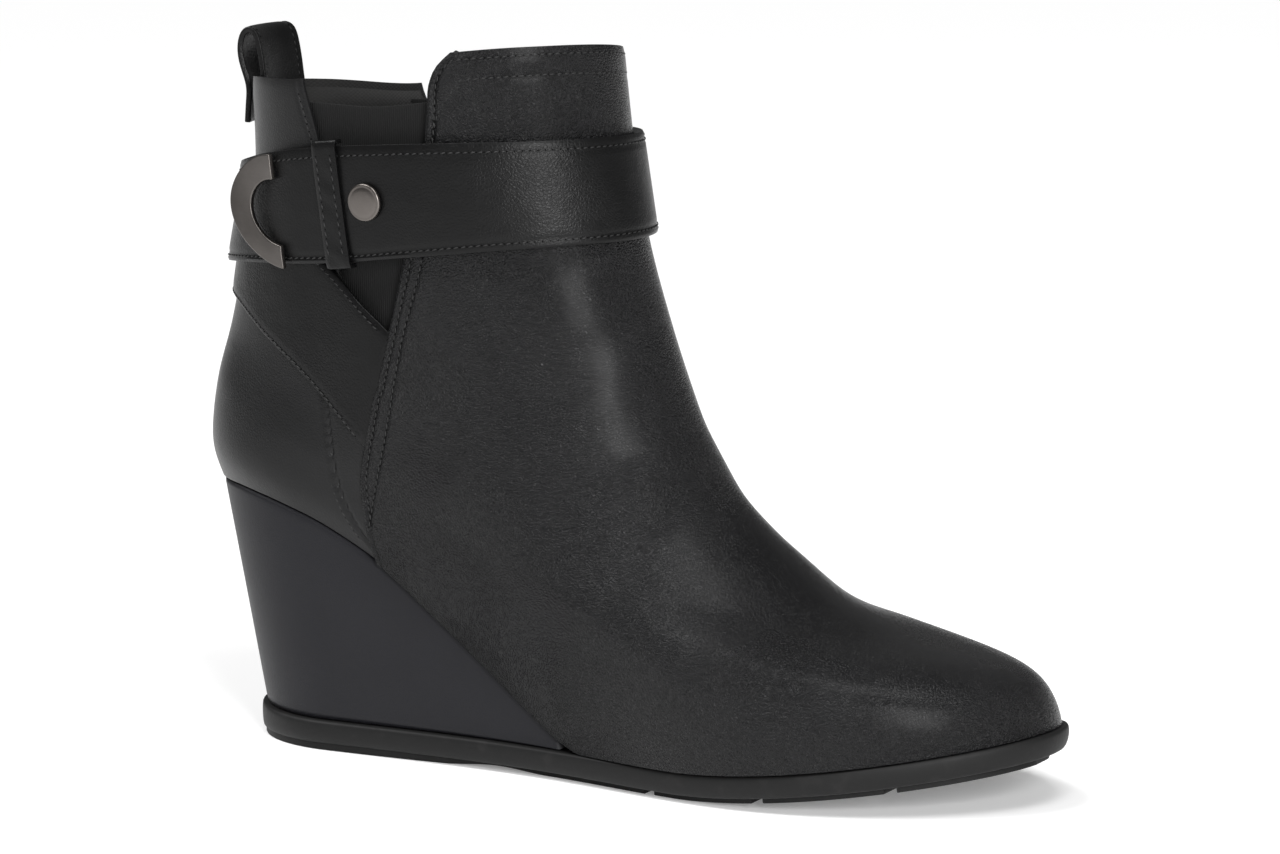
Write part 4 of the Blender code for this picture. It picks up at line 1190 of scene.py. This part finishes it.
# Pull loop: a strip folded over the collar's back
loop = {
    "width": 0.021,
    "thick": 0.0017,
    "bend": 0.032,
    "rise": 0.0150,
    "depth": 0.0068,
    "across": 24,
    "along": 120,
}
loopLine = (
    (-0.20, -0.78), (-0.14, -0.40), (-0.14, -0.06), (-0.40, 0.30), (-0.52, 0.62), (-0.38, 0.88),
    (-0.05, 0.98), (0.28, 0.89), (0.47, 0.64), (0.60, 0.32), (0.68, 0.05), (0.75, -0.26),
    (0.76, -0.90),
)
loopAt = naturalCurve(np.linspace(0.0, 1.0, len(loopLine)), loopLine)


def loopWrap(s, h):
    line = loopAt(h)
    ahead = loopAt(np.clip(h + 0.004, 0.0, 1.0)) - loopAt(np.clip(h - 0.004, 0.0, 1.0))
    ahead = ahead * np.array((loop["depth"], loop["rise"]))
    ahead /= np.linalg.norm(ahead, axis=-1, keepdims=True)
    backWall = sections[-1][0] * last["heelOverhang"]
    zeroX = backWall - last["clear"] - loop["thick"] / 2.0 - 0.0004
    y = (s - 0.5) * loop["width"]
    near = loop["width"] / 2.0 - np.abs(y)
    out = loop["thick"] / 2.0 - 0.00018 * bump(near, 0.0020, 0.0006)
    out = out - 0.0003 * (1.0 - smooth(near, 0.0, 0.001))
    x = zeroX + line[..., 0] * loop["depth"] - ahead[..., 1] * out
    z = backTop + line[..., 1] * loop["rise"] + ahead[..., 0] * out
    return np.stack([x + y * y / (2.0 * loop["bend"]), y, z], -1) + toFrame


loopMiddle = Vector((0.0008, 0.0, backTop + 0.4 * loop["rise"])) + Vector(toFrame)
addSheet("pull_loop_leather", layGrid(loop["across"], loop["along"], loopWrap), strapLeather,
         loop["thick"], 0.0004, ("pull_loop",), None, loopMiddle)
print("pull loop")

# Wedge: ruled between the upper's seat and the outsole
wedge = {
    "steps": 90,
    "up": 40,
    "inset": 0.0005,
    "back": 0.0012,
    "end": 0.462,
    "seatGap": 0.0004,
}


def wedgeLoopPlace(s):
    # s runs once round: outer side to the wedge's tip, then the inner side back
    v = np.where(s <= 0.5, 2.0 * s, 2.0 - 2.0 * s)
    seatBackX = sections[0][0] * last["heelOverhang"]
    seatFrontX = sections[0][2] * length
    reach = turnOf((wedge["end"] * length - seatBackX) / (seatFrontX - seatBackX))
    return v * reach, np.where(s <= 0.5, -1.0, 1.0)


def wedgeWrap(s, h):
    v, side = wedgeLoopPlace(s)
    top = lastPoint(0.0, np.where(side < 0.0, v, 2.0 - v))
    y = top[..., 1] - wedge["inset"] * side
    x = top[..., 0] + wedge["inset"] * np.clip(1.0 - (top[..., 0] + 0.0145) / last["heelWidth"], 0.0, 1.0)
    tip = wedge["end"] * length
    share = (x - x.min()) / (tip - x.min())
    footX = wedge["back"] + (tip - wedge["back"]) * share
    footY = np.zeros(y.shape)
    for which in (-1, 1):
        width = soleHalfWidth(footX / length, which)
        heelShare = (footX - wedge["back"]) / (last["soleHeelRound"] * length)
        heel = roundEnd(1.0 - heelShare, last["heelFullness"])
        footY = np.where(side == which, which * (width - wedge["inset"]) * heel, footY)
    footZ = soleTop(footX) + last["clear"]
    topZ = seatHeight(x) - wedge["seatGap"]
    # The cover turns in softly at its two edges
    tuck = 0.0003 * (1.0 - smooth(h, 0.0, 0.02)) + 0.0003 * smooth(h, 0.985, 1.0)
    tuck = np.minimum(tuck, 0.04 * (topZ - footZ))
    cutX = footX + (x - footX) * h
    cutY = footY + (y - footY) * h
    cutZ = footZ + (topZ - footZ) * h
    cutY = cutY - side * tuck
    cutX = cutX + tuck * (1.0 - np.clip(share * 6.0, 0.0, 1.0))
    atEnds = (s < 1e-6) | (s > 1.0 - 1e-6)
    cutY = np.where(atEnds | (np.abs(s - 0.5) < 1e-6), 0.0 * cutY, cutY)
    return np.stack([cutX, cutY, cutZ], -1) + toFrame


wedgeBm = layGrid(wedge["steps"] * 2, wedge["up"], wedgeWrap)
fillRims(wedgeBm)
addPiece("wedge_cover", wedgeBm, wedgeLeather, ("wedge",))
print("wedge")

# Outsole: a band with a soft lip, and tread pads below it
sole = {
    "steps": 110,
    "padHeight": 0.0020,
    "recess": 0.0035,
    "recessHeel": 0.0006,
    "waistLift": 0.0010,
    # how far out and how high each line of the band lies: out as metres, height as a share
    "profile": ((-0.0035, 0.00), (-0.0004, 0.00), (0.0004, 0.05), (0.0009, 0.16), (0.0013, 0.34),
                (0.0015, 0.55), (0.0015, 0.74), (0.0014, 0.86), (0.0011, 0.95), (0.0005, 0.995),
                (-0.0004, 1.0), (-0.0030, 1.0)),
    "grooves": (0.575, 0.715, 0.860),
    "groove": 0.0030,
}


def soleOutline(s, out, recessFore=0.0, recessHeel=0.0):
    v = np.where(s <= 0.5, 2.0 * s, 2.0 - 2.0 * s)
    side = np.where(s <= 0.5, -1.0, 1.0)
    r = 0.5 - 0.5 * np.cos(math.pi * v)
    fore = smooth(r, 0.20, 0.45)
    inset = recessHeel + (recessFore - recessHeel) * fore
    x = recessHeel + (length + out - recessFore - recessHeel) * r
    y = np.zeros(x.shape)
    for which in (-1, 1):
        wide = which * (soleHalfWidth(r, which) + out - inset) * soleEnds(r, which)
        y = np.where(side == which, wide, y)
    return x, y + toeSwing(x)


def bandWrap(s, h):
    profile = np.array(sole["profile"])
    keys = np.linspace(0.0, 1.0, len(profile))
    out = np.interp(h, keys, profile[:, 0])
    share = np.interp(h, keys, profile[:, 1])
    x, y = soleOutline(s, out)
    low = toeLift(x) + sole["padHeight"]
    return np.stack([x, y, low + share * (soleTop(x) - low)], -1) + toFrame


bandBm = layGrid(sole["steps"] * 2, (len(sole["profile"]) - 1) * 2, bandWrap)
fillRims(bandBm)
addPiece("outsole_band", bandBm, rubberFinish, ("outsole",))


def padBottom(x):
    hump = np.clip(1.0 - np.abs(x / length - 0.36) / 0.07, 0.0, 1.0)
    return toeLift(x) + sole["waistLift"] * hump * hump * (3.0 - 2.0 * hump)


def padWrap(startShare, endShare):
    def wrap(s, h):
        recess = sole["recess"]
        back = max(startShare * length, sole["recessHeel"] + 0.0004)
        front = min(endShare * length, length - recess - 0.0004)
        x = back + (front - back) * s
        r = np.clip((x - sole["recessHeel"]) / (length - recess - sole["recessHeel"]), 0.0, 1.0)
        inset = sole["recessHeel"] + (recess - sole["recessHeel"]) * smooth(r, 0.20, 0.45)
        sides = []
        for which in (-1, 1):
            sides.append(which * (soleHalfWidth(r, which) - inset) * soleEnds(r, which))
        y = sides[0] + (sides[1] - sides[0]) * h + toeSwing(x)
        return np.stack([x, y, padBottom(x)], -1) + toFrame
    return wrap


padStarts = [0.0] + [share + sole["groove"] / length / 2.0 for share in sole["grooves"]]
padEnds = [share - sole["groove"] / length / 2.0 for share in sole["grooves"]] + [1.0]
for number, (start, end) in enumerate(zip(padStarts, padEnds)):
    padAbove = Vector((0.1, 0.0, 0.5))
    addSheet("tread_pad_%d" % (number + 1), layGrid(60, 30, padWrap(start, end)), rubberFinish,
             sole["padHeight"] + 0.0004, 0.0004, (), None, padAbove)
print("outsole")

# Footbed inside the boot
footbed = {
    "inset": 0.0036,
    "rise": 0.020,
    "lip": 0.0012,
    "across": 36,
    "along": 150,
}


def footbedWrap(s, h):
    v = 0.006 + 0.979 * s
    outer = lastPoint(0.0, v)
    inner = lastPoint(0.0, 2.0 - v)
    side = 2.0 * h - 1.0
    half = 0.5 * (inner[..., 1] - outer[..., 1]) - footbed["inset"]
    middle = 0.5 * (inner[..., 1] + outer[..., 1])
    x = outer[..., 0]
    ends = np.clip(np.minimum(s, 1.0 - s) / 0.10, 0.0, 1.0)
    x = x + footbed["inset"] * (1.0 - ends) * np.where(s < 0.5, 1.0, -1.0)
    y = middle + side * np.maximum(half, 0.0005)
    lip = footbed["lip"] * np.abs(side) ** 4 - 0.0008 * (1.0 - side ** 2)
    z = seatHeight(x) + footbed["rise"] * footbedRise(x / length) + lip - 0.0012
    return np.stack([x, y, z], -1) + toFrame


addSheet("footbed_leather_pad", layGrid(footbed["along"], footbed["across"], footbedWrap), footbedLeather,
         0.0018, 0.0004, ("insole",), None, Vector((0.0, 0.0, -0.5)))
print("footbed")

# Stitches, and dark dots of painted shade for the stitch holes, one row after another in one mesh each
sewing = {
    "pitch": 0.0021,
    "stitch": (0.00155, 0.00042, 0.00034),
    # size of the dark dots of painted shade that stand for the stitch holes
    "hole": (0.00050, 0.00050, 0.00026),
    "lean": 12.0,
}
stitchBm = bmesh.new()
holeShadeBm = bmesh.new()


def sewRow(path, above, pitch=sewing["pitch"], size=1.0):
    # path is a line of points on the surface, above the same line a little further out
    run = runAlong(path, 0)
    count = max(int(run[-1] / pitch), 1)
    places = (np.arange(count) + 0.5) * run[-1] / count
    line = np.stack([np.interp(places, run, path[:, axis]) for axis in range(3)], -1)
    upper = np.stack([np.interp(places, run, above[:, axis]) for axis in range(3)], -1)
    ahead = np.gradient(line, axis=0) if count > 1 else path[-1:] - path[:1]
    lean = Matrix.Rotation(math.radians(sewing["lean"]), 4, "Z")
    turned = []
    for point, high, forward in zip(line, upper, ahead):
        zAxis = Vector(high - point).normalized()
        xAxis = Vector(forward).normalized()
        yAxis = zAxis.cross(xAxis).normalized()
        frameHere = Matrix((xAxis, yAxis, zAxis)).transposed().to_4x4()
        turned.append((Vector(point), xAxis, zAxis, frameHere))
    # Each row gets thread beads and, half a pitch along, dark dots of painted shade for the stitch holes
    for bm, shape, shift, sink in ((stitchBm, sewing["stitch"], 0.0, 0.00002),
                                   (holeShadeBm, sewing["hole"], 0.5, 0.00006)):
        rowBm = bmesh.new()
        form = Matrix.Diagonal((shape[0] * size, shape[1] * size, shape[2] * size, 1.0))
        for point, xAxis, zAxis, frameHere in turned:
            place = Matrix.Translation(point + xAxis * pitch * shift - zAxis * sink)
            bmesh.ops.create_uvsphere(rowBm, u_segments=6, v_segments=5, radius=0.5,
                                      matrix=place @ frameHere @ lean @ form)
        rowMesh = bpy.data.meshes.new("sewn_row")
        rowBm.to_mesh(rowMesh)
        rowBm.free()
        bm.from_mesh(rowMesh)
        bpy.data.meshes.remove(rowMesh)


def sewOnSkin(t, turn, offset, **words):
    offset = np.broadcast_to(np.asarray(offset, float), np.shape(t))
    sewRow(skin(t, turn, offset), skin(t, turn, offset + 0.001), **words)


def frontRowPlaces(inside, lowest):
    # The panel's edge from its foot, round the top corner, moved inwards and put on the last
    radius = frontPanel["cornerRadius"]
    z = np.linspace(lowest, frontPanel["cornerStart"], 80)
    x = frontEdgeX(z)
    angle = np.linspace(0.0, 0.5 * math.pi, 16)[1:]
    cornerX = x[-1] + radius * (1.0 - np.cos(angle))
    cornerZ = frontPanel["cornerStart"] + radius * np.sin(angle)
    edge = np.stack([np.concatenate([x, cornerX]), np.concatenate([z, cornerZ])], -1)
    ahead = np.gradient(edge, axis=0)
    ahead /= np.linalg.norm(ahead, axis=1, keepdims=True)
    moved = edge + np.stack([ahead[:, 1], -ahead[:, 0]], -1) * inside
    t, turn = placeOn(moved[:, 0], moved[:, 1])
    below = np.linalg.norm(lastPoint(1.0, turn) - lastPoint(0.99, turn), axis=-1) / 0.01
    kept = t < 1.0 - inside / below
    return t[kept], turn[kept]


def frontOffset(t, turn):
    edge = frontEdgeTurn(t)
    v = np.where(turn <= 1.0, turn, 2.0 - turn)
    return last["vampStep"] * (1.0 - np.clip((v - edge) / (1.0 - edge), 0.0, 1.0)) ** 2 - 0.0001


def secondRowPlaces():
    z = np.linspace(0.064, 0.1898, 90)
    return placeOn(secondPathX(z), z)


for inside, places in ((frontPanel["firstRow"], frontRowPlaces(frontPanel["firstRow"], 0.068)),
                       (frontPanel["topRow"], secondRowPlaces())):
    t, turn = places
    topTurn = np.linspace(turn[-1] + 0.004, 1.0, 60)
    below = np.linalg.norm(lastPoint(1.0, topTurn) - lastPoint(0.99, topTurn), axis=-1) / 0.01
    t = np.concatenate([t, 1.0 - inside / below])
    turn = np.concatenate([turn, topTurn])
    sewOnSkin(t, turn, frontOffset(t, turn))
    sewOnSkin(t, 2.0 - turn, frontOffset(t, turn))

for band, lowLine, highLine, reach, offset in (
        (heelStrap, bandBottomZ, bandTopZ, last["edgeShare"] - 0.012, None),
        (ankleStrap, strapBottomZ, strapTopZ, 1.0, strapOffset)):
    share = np.linspace(-reach, reach, 400)
    for fromHigh in (False, True):
        ends = skin(*bandPlace(share, np.ones(400), lowLine, highLine))
        starts = skin(*bandPlace(share, np.zeros(400), lowLine, highLine))
        inward = band["row"] / np.linalg.norm(ends - starts, axis=-1)
        h = 1.0 - inward if fromHigh else inward
        t, turn = bandPlace(share, h, lowLine, highLine)
        lift = band["thick"] - 0.0001 + (heelStrap["inner"] if offset is None else offset(np.abs(share)))
        sewOnSkin(t, turn, lift)

# Rear quarter: the strip beside the elastic and the counter's front edge
for mirrored in (False, True):
    z = np.linspace(0.74 * backTop, 0.985 * backTop, 60)
    t, turn = placeOn(stripEdgeX(z) - 0.0022, z)
    sewOnSkin(t, 2.0 - turn if mirrored else turn, -0.0001)
    z = np.linspace(0.325 * backTop, 0.530 * backTop, 60)
    t, turn = placeOn(counterEdgeX(z) - 0.0016, z)
    sewOnSkin(t, 2.0 - turn if mirrored else turn, -0.0002)

# Keeper and pull loop
for across in (0.20, 0.80):
    h = np.linspace(0.16, 0.84, 40)[:, None] * np.ones((1, 3))
    s = np.tile(np.array((0.0, across, 1.0)), (40, 1))
    grid = keeperWrap(s, h)
    middle = grid[:, 1]
    out = middle + np.array((0.0, -0.001, 0.0))
    sewRow(middle + (out - middle) * 0.05, out, pitch=0.0025)
for across in (0.095, 0.905):
    h = np.linspace(0.05, 0.98, 160)
    s = np.full(160, across)
    path = loopWrap(s, h)
    ahead = np.gradient(path, axis=0)
    out = path + np.cross(ahead / np.linalg.norm(ahead, axis=1, keepdims=True), (0.0, 1.0, 0.0)) * 0.001
    sewRow(path, out)

addPiece("stitches", stitchBm, threadFinish)
addPiece("pinhole_shade_dots", holeShadeBm, holeShadeFinish)
print("stitches")

# Floor and light
studio = {
    "floorHalf": 14.0,
    "floorTone": (0.90, 0.90, 0.90),
    "floorGlow": 0.20,
    "worldLight": 0.20,
}
floorBm = bmesh.new()
bmesh.ops.create_grid(floorBm, x_segments=2, y_segments=2, size=studio["floorHalf"])
floorMesh = bpy.data.meshes.new("floor")
floorBm.to_mesh(floorMesh)
floorBm.free()
floor = bpy.data.objects.new("floor", floorMesh)
bpy.context.scene.collection.objects.link(floor)
floorFinish = Finish("floor_paper")
floorFinish.put("Base Color", (*studio["floorTone"], 1.0))
floorFinish.put("Roughness", 0.9)
floorFinish.put("Specular IOR Level", 0.1)
floorFinish.put("Emission Color", (1.0, 1.0, 1.0, 1.0))
floorFinish.put("Emission Strength", studio["floorGlow"])
floorMesh.materials.append(floorFinish.material)

world = bpy.data.worlds.new("studio")
world.use_nodes = True
world.node_tree.nodes["Background"].inputs["Color"].default_value = (1.0, 1.0, 1.0, 1.0)
world.node_tree.nodes["Background"].inputs["Strength"].default_value = studio["worldLight"]
bpy.context.scene.world = world


def areaLight(name, place, target, size, power):
    light = bpy.data.lights.new(name, "AREA")
    light.shape = "RECTANGLE"
    light.size = size[0]
    light.size_y = size[1]
    light.energy = power
    lamp = bpy.data.objects.new(name, light)
    lamp.location = place
    lamp.rotation_euler = (Vector(target) - Vector(place)).to_track_quat("-Z", "Y").to_euler()
    bpy.context.scene.collection.objects.link(lamp)


areaLight("top_softbox", (0.40, -0.40, 1.15), (0.05, 0.0, 0.05), (0.45, 0.45), 6.0)
areaLight("key_softbox", (0.98, -1.02, 0.58), (0.0, 0.0, 0.10), (0.40, 0.60), 18.0)
sun = bpy.data.lights.new("room_light", "SUN")
sun.energy = 2.4
sun.angle = math.radians(40.0)
sunLamp = bpy.data.objects.new("room_light", sun)
sunLamp.rotation_euler = (math.radians(12.0), math.radians(-28.0), 0.0)
bpy.context.scene.collection.objects.link(sunLamp)
print("studio")
